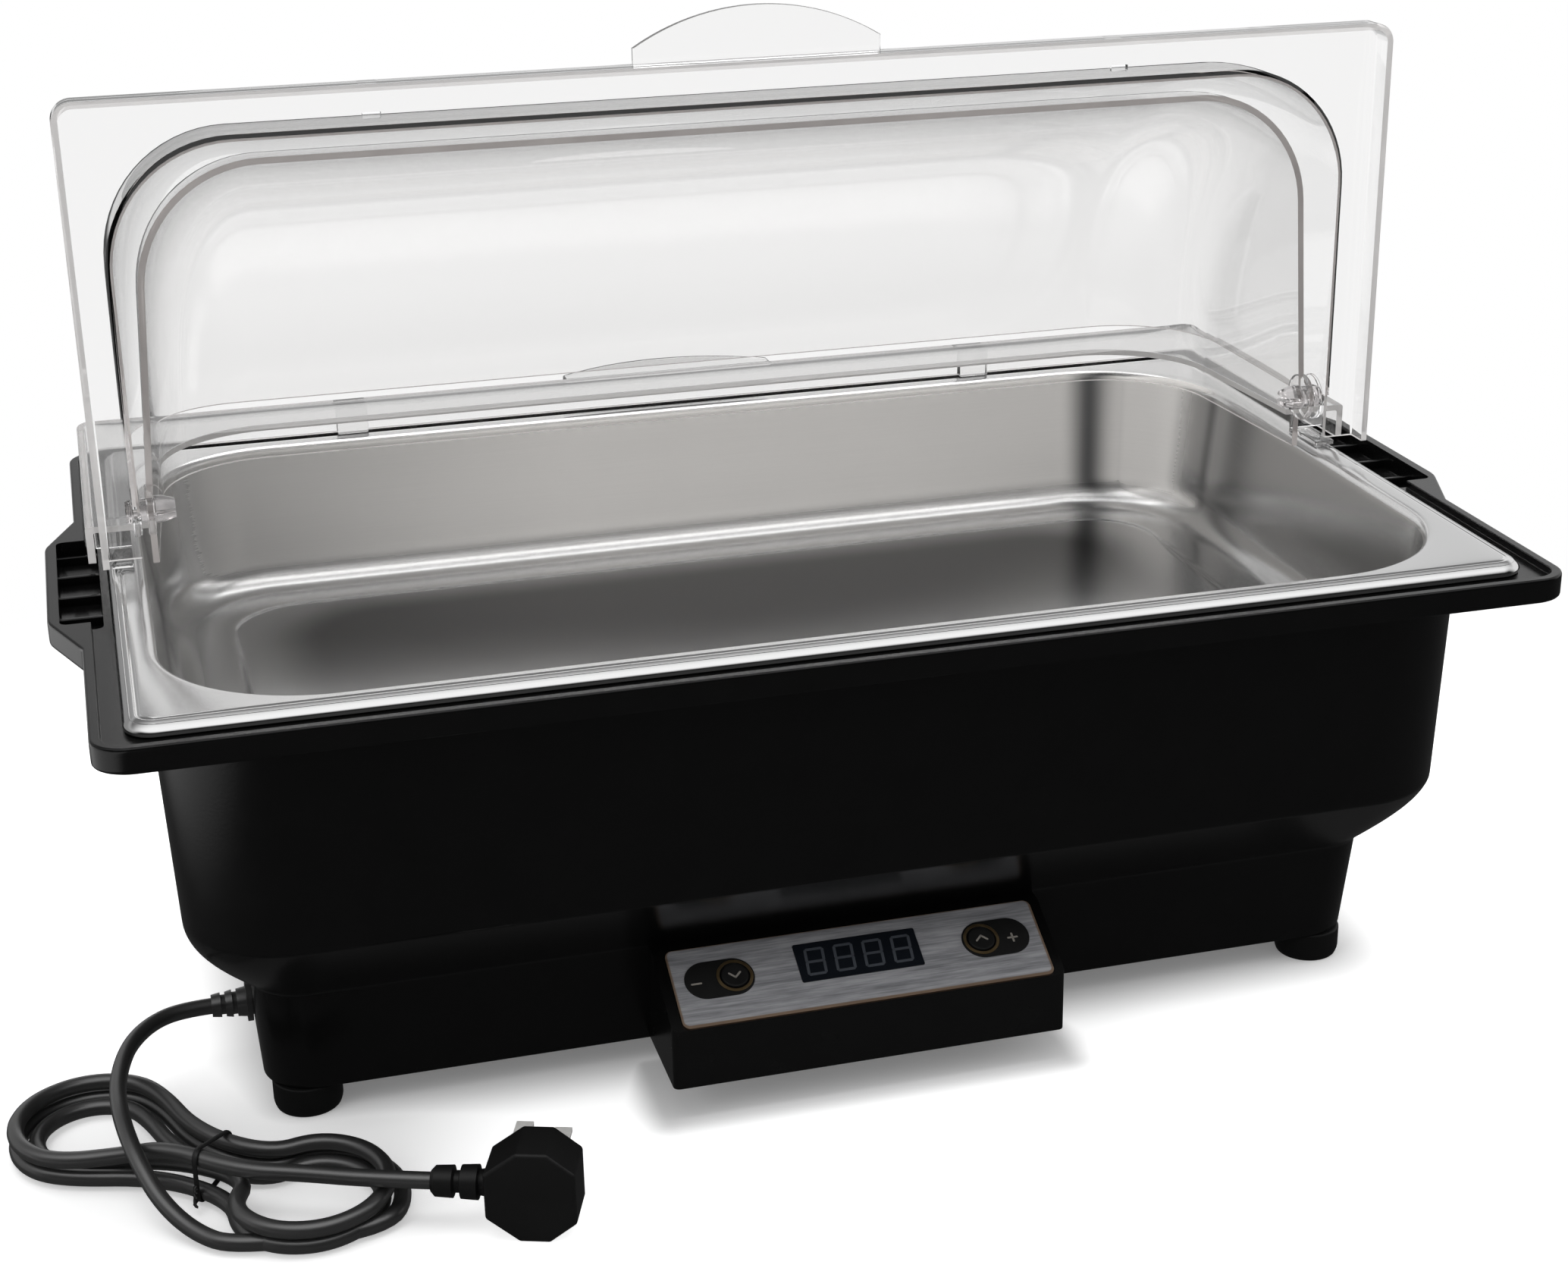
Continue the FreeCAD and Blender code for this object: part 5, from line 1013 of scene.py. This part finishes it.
def make_digits():
    """Four unlit seven-segment digits, each leaning a little."""
    pieces = []
    base, high, wide, lean = 15.9, 11.5, 6.9, 0.09
    gap, stroke, glass_top = 0.55, 1.15, 1.35
    for index in range(4):
        left = -21.4 + index * 11.7
        rows = [(gap, y, wide - gap, y) for y in (0.0, high / 2, high)]
        columns = [(x, y + gap, x, y + high / 2 - gap) for x in (0.0, wide)
                   for y in (0.0, high / 2)]
        for x0, y0, x1, y1 in rows + columns:
            pieces.append(bar(left + x0 + lean * y0, base + y0, left + x1 + lean * y1, base + y1,
                              stroke, glass_top - 0.1, glass_top + 0.03))
    piece("digits", mesh_of("digits", pieces), SEGMENT_GREY, "base")


make_digits()


def make_marks():
    """Minus and plus beside the keys, and a small arrow in each key's ring."""
    minus, plus_across, plus_up = ((-67.2, 19.2, -63.6, 19.2), (60.9, 19.2, 64.5, 19.2),
                                   (62.7, 17.4, 62.7, 21.0))
    signs = [bar(*ends, 0.8, 1.35, 1.49) for ends in (minus, plus_across, plus_up)]
    piece("signs", mesh_of("signs", signs), MARK_PALE, "base")
    for way, centre, turn in (("down", -50.0, -1), ("up", 50.0, 1)):
        arrow = [bar(centre + side * 2.2, 20.4 - turn * 0.9, centre, 20.4 + turn * 1.2, 0.75,
                     2.2, 2.34) for side in (-1, 1)]
        piece("arrow_" + way, mesh_of("arrow_" + way, arrow), MARK_PALE, way + "_key")


make_marks()


# Feet, cover plate and the parts inside


def make_feet():
    """Round rubber treads, hollow under their screws."""
    for name, x, y in (("front_left", -212, -100), ("rear_left", -212, 100),
                       ("front_right", 212, -100), ("rear_right", 212, 100)):
        profile = soft_line([(2.0, 5.8), (4.4, 5.8), (4.4, 0.02), (12.4, 0.02), (13.4, 3.0),
                             (13.4, 12.5), (2.0, 12.5)], 1.0)
        grid = turned(profile) + np.array([x, y, 0.0])
        piece("tread_" + name, mesh_of("tread_" + name, [(grid, True, True, ())]), FOOT_RUBBER,
              "base", ["foot_" + name])


make_feet()

# Parts inside, which keep the shape of their CAD nodes
PLAIN = {"bottom_cover": BOX_BLACK, "base_screws": SCREW_STEEL, "board_screws": SCREW_STEEL,
         "element_clamps": SCREW_STEEL, "display_module": GLASS_DARK, "control_board": BOARD_GREEN,
         "power_board": BOARD_GREEN, "heater_plate": HEATER_ALU, "heat_shield": HEATER_ALU,
         "heating_element": ELEMENT_STEEL, "thermal_cutout": ELEMENT_STEEL,
         "temperature_probe": ELEMENT_STEEL, "terminal_block": TERMINAL}
for node, material in PLAIN.items():
    paint(nodes[node].data, material)


# Mains cord


CORD_RADIUS = 3.2
HANK_PLACE = np.array([-251.0, -148.0, 0.0])
HANK_TURN = math.radians(-43.1)


def on_hank(points):
    """Turns points drawn in the hank's own directions to their place on the floor."""
    x, y, z = np.moveaxis(np.asarray(points, float), -1, 0)
    cos, sin = math.cos(HANK_TURN), math.sin(HANK_TURN)
    return np.stack([x * cos - y * sin, x * sin + y * cos, z], -1) + HANK_PLACE


def hank_points():
    """Control points of the hank: lobes and waists as circumscribed corners of circles that
    share their centres, two turns inwards on the floor and one outwards on top of them."""
    step = 7.1
    low, mid, high = 4.2, 11.1, 18.0
    made = []

    def lobe(side, far, radius0, radius1, waist0, waist1, z0, z1, pieces=7, first=0):
        """Corners round one lobe, from the front on the right and from the back on the left."""
        for index in range(first, pieces):
            share = (index + 0.5) / pieces
            radius = radius0 * (1 - share) + radius1 * share
            waist = waist0 * (1 - share) + waist1 * share
            arc = (far ** 2 + waist ** 2 - radius ** 2) / (2 * (radius - waist))
            touch = math.pi - math.atan2(waist + arc, far)
            turn = -touch + 2 * touch * share
            reach = radius / math.cos(touch / pieces)
            made.append((side * (far + reach * math.cos(turn)), side * reach * math.sin(turn),
                         z0 * (1 - share) + z1 * share))

    def waist_run(side, far, radius, offset0, offset1, z0, z1):
        """Two corners of the waist's hollow arc, heading left on the back."""
        for share in (0.25, 0.75):
            offset = offset0 * (1 - share) + offset1 * share
            arc = (far ** 2 + offset ** 2 - radius ** 2) / (2 * (radius - offset))
            swing = math.atan2(far, offset + arc)
            angle = (1 - 2 * share) * swing
            reach = arc / math.cos(swing / 2)
            made.append((side * reach * math.sin(angle),
                         side * (offset + arc - reach * math.cos(angle)),
                         z0 * (1 - share) + z1 * share))

    right, left, hollow = 33.5, 28.0, 30.7
    near, far, apart = 43, 58, 50
    out, tight = 1.5 * step, 0.5 * step
    lobe(1, near, right, right, out, out, low, low, first=3)
    waist_run(1, apart, hollow, out, out, low, low)
    lobe(-1, far, left, left, out, out, low, low)
    waist_run(-1, apart, hollow, out, out, low, low)
    lobe(1, near, right - step, right - step, out, tight, low, low)
    waist_run(1, apart, hollow - step, tight, tight, low, low)
    lobe(-1, far, left - step, left - step, tight, tight, low, low)
    waist_run(-1, apart, hollow - step, tight, tight, low + 2, mid)
    lobe(1, near, right - step, 30.0, tight, out, mid, mid)
    waist_run(1, apart, hollow, out, out, mid, mid)
    lobe(-1, far, left, left, out, out, mid, mid)
    made.append((-28.0, -16.5, mid + 2.5))
    made.append((-12.0, -10.9, high))
    return made


def make_cord():
    """One cord: out of the gland, over the hank, round its turns and on to the plug."""
    exit_run = [(-244.3, -62, 27), (-256.3, -62, 27), (-267.8, -67.5, 26.4), (-276.5, -79, 25.2),
                (-281, -95, 24.5), (-283, -114, 24.4), (-282, -134, 24.2), (-278.5, -153, 20.2),
                (-271.5, -170.5, 10.5)]
    begin = [(18.6, -33.5, 4.2), (36.6, -33.5, 4.2)]
    end = [(21.4, -10.65, 18.0)]
    plug_turn = math.radians(-20.1)
    lead = [(-157.9 - reach * math.cos(plug_turn), -204.4 - reach * math.sin(plug_turn), 18.0)
            for reach in (42.5, 20.5)]
    route = np.vstack([exit_run, on_hank(begin + hank_points() + end), [(-222, -178.5, 18)], lead])
    points = placed(route)
    curve = bpy.data.curves.new("mains_cord", "CURVE")
    curve.dimensions = "3D"
    spline = curve.splines.new("NURBS")
    spline.points.add(len(points) - 1)
    spline.points.foreach_set("co", np.column_stack([points, np.ones(len(points))]).ravel())
    spline.order_u = 3
    spline.use_endpoint_u = True
    spline.resolution_u = 8
    curve.bevel_depth = CORD_RADIUS * 0.001
    curve.bevel_resolution = 6
    curve.use_fill_caps = True
    cord = linked("mains_cord", curve)
    curve.materials.append(CORD_SHEATH)
    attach(cord, "base")
    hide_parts("power_cord_exit", "power_cord_hank", "power_cord_lead")
    return cord, points


cord, cord_points = make_cord()

copied("cord_gland", "cord_sleeve", CORD_SHEATH, "base", 0.25)
plug = copied("plug_body", "plug_shell", PLUG_BLACK, "base")
relief = copied("plug_strain_relief", "plug_sleeve", PLUG_BLACK, "base", 0.2)
pins = copied("plug_pins", "plug_blades", PIN_METAL, "base", 0.3)


def strip(points, half_wide, half_thick, closed, around=12):
    """A strip with rounded edges along a line that runs across the hank's own length."""
    if closed:
        ways = np.roll(points, -1, 0) - np.roll(points, 1, 0)
    else:
        ways = np.gradient(points, axis=0)
    ways /= np.linalg.norm(ways, axis=1, keepdims=True)
    side = np.array([1.0, 0.0, 0.0]) - ways[:, :1] * ways
    side /= np.linalg.norm(side, axis=1, keepdims=True)
    out = np.cross(ways, side)
    angles = round_angles(around)
    rows = (points[:, None] + half_wide * side[:, None] * np.cos(angles)[:, None]
            + half_thick * out[:, None] * np.sin(angles)[:, None])
    return rows, True, closed, () if closed else ("low", "high")


def make_tie():
    """A flat tie drawn tight round the waist of the hank: straight from one outer turn to the
    next with a quarter circle round each, leaning along the hank, and its two ends twisted
    round each other down over the front."""
    turns = np.array([(-10.8, 4.2), (10.7, 4.2), (10.7, 11.1), (-10.9, 18.0)])
    edges = np.roll(turns, -1, 0) - turns
    facing = np.unwrap(np.arctan2(-edges[:, 0], edges[:, 1]))
    before = np.concatenate([[facing[-1] - 2 * math.pi], facing[:-1]])
    share = np.linspace(0, 1, 9)
    angles = before[:, None] * (1 - share) + facing[:, None] * share
    reach = CORD_RADIUS + 0.5
    y = (turns[:, :1] + reach * np.cos(angles)).ravel()
    z = (turns[:, 1:] + reach * np.sin(angles)).ravel()
    lean = -0.27
    grids = [strip(np.column_stack([lean * y, y, z]), 1.15, 0.45, True)]
    s = np.linspace(0, 1, 36)
    middle = np.column_stack([4.0 + 2.5 * s, -15.2 - 3.6 * s,
                              8.5 + 1.6 * np.sin(s * 3.0) - 5.6 * s])
    spread = 0.55 + 3.0 * np.clip(s - 0.8, 0, 1)
    for start in (0.0, math.pi):
        spin = (start + s * 4 * math.pi)[:, None]
        tail = middle + spread[:, None] * (np.cos(spin) * (0.80, -0.05, 0.0)
                                           + np.sin(spin) * (0.0, 0.75, 0.65))
        grids.append(strip(tail, 0.65, 0.5, False, 8))
    mesh = mesh_of("wire_tie", [(on_hank(points), *rest) for points, *rest in grids])
    return piece("wire_tie", mesh, TIE_BLACK, "base", ["cord_tie"])


tie = make_tie()
tuple(cord_points[0])


# Floor, room and lamps


def make_stage():
    """White floor. What is seen of it straight glows, except near the base, the control box and
    the hank, where it keeps their shadows; mirrors see it dark on the left and pale elsewhere."""
    floor_mesh = bpy.data.meshes.new("floor")
    corners = [(-6, -6, 0), (6, -6, 0), (6, 6, 0), (-6, 6, 0)]
    floor_mesh.from_pydata(corners, [], [(0, 1, 2, 3)])
    floor = linked("floor", floor_mesh)
    material = bpy.data.materials.new("floor_white")
    tone = empty_tree(material)
    straight = tone.straight()
    across, along = tone.place().axis("X"), tone.place().axis("Y")
    off_box = outside(across, along + 0.14, 0.08, 0.022)
    off_base = outside(across, along + 0.006, 0.215, 0.10).smaller(off_box * 2.5)
    off_hank = outside(across + 0.25, along + 0.155, 0.05, 0.03)
    light = (off_base.between(0.0, 0.042) * 0.62 + 0.14).smaller(
        off_hank.between(0.0, 0.08) * 0.40 + 0.36)
    matt = tone.add("BsdfDiffuse", {"Color": grey(0.80)})
    glow = tone.add("Emission", {"Color": grey(1.0), "Strength": straight * light})
    both = tone.add("AddShader", {0: matt, 1: glow})
    sides = tone.add("Emission", {
        "Color": across.between(-0.62, -0.42).pick(grey(0.9), grey(0.05))})
    near = tone.add("MixShader", {0: tone.mirrored() * (1.0 - straight), 1: both, 2: sides})
    white = tone.add("Emission", {"Color": grey(1.0), "Strength": 1.0})
    seen = tone.add("MixShader", {0: straight * off_base.between(0.12, 0.40), 1: near, 2: white})
    tone.add("OutputMaterial", {"Surface": seen})
    floor_mesh.materials.append(material)


make_stage()


def lamp(name, place, size_x, size_y, power):
    """A soft lamp aimed at the dish, without an image of its own in mirrors."""
    aim = Vector((0.0, 0.0, 0.1)) - Vector(place)
    data = bpy.data.lights.new(name, "AREA")
    data.shape = "RECTANGLE"
    data.size, data.size_y = size_x, size_y
    data.energy = power
    thing = linked(name, data)
    thing.location = place
    thing.rotation_euler = aim.to_track_quat("-Z", "Y").to_euler()
    thing.visible_glossy = False


lamp("top_lamp", (0.0, 0.1, 2.4), 2.6, 2.0, 33)
lamp("left_lamp", (-2.2, -1.2, 1.5), 1.2, 1.6, 12)
lamp("right_lamp", (2.2, -0.6, 1.6), 1.2, 1.6, 9)


def make_world():
    """White behind everything that is seen straight or through the cover; mirrors see a room
    that is bright above and behind, and dark in front below the lamps."""
    world = bpy.data.worlds.new("room")
    bpy.context.scene.world = world
    tone = empty_tree(world)
    across, depth, height = (tone.add("TexCoord", out="Generated").axis(name) for name in "XYZ")
    front = (1.0 - depth.between(-0.45, 0.10)) * (1.0 - height.between(0.56, 0.84))
    left = (1.0 - across.between(-0.45, 0.45)) * (1.0 - height.between(0.30, 0.80))
    ceiling = depth.between(-0.35, 0.55).pick(grey(1.0), grey(0.16))
    high = height.between(0.42, 0.62).pick(grey(0.78), ceiling)
    room = front.pick((left * 0.8).pick(high, grey(0.12)), grey(0.01))
    plain = tone.mirrored().pick(grey(0.62), room)
    shade = tone.add("Background", {"Color": tone.straight().pick(plain, grey(1.0)),
                                    "Strength": 1.0})
    tone.add("OutputWorld", {"Surface": shade})


make_world()
bpy.context.scene.view_settings.view_transform = "Standard"
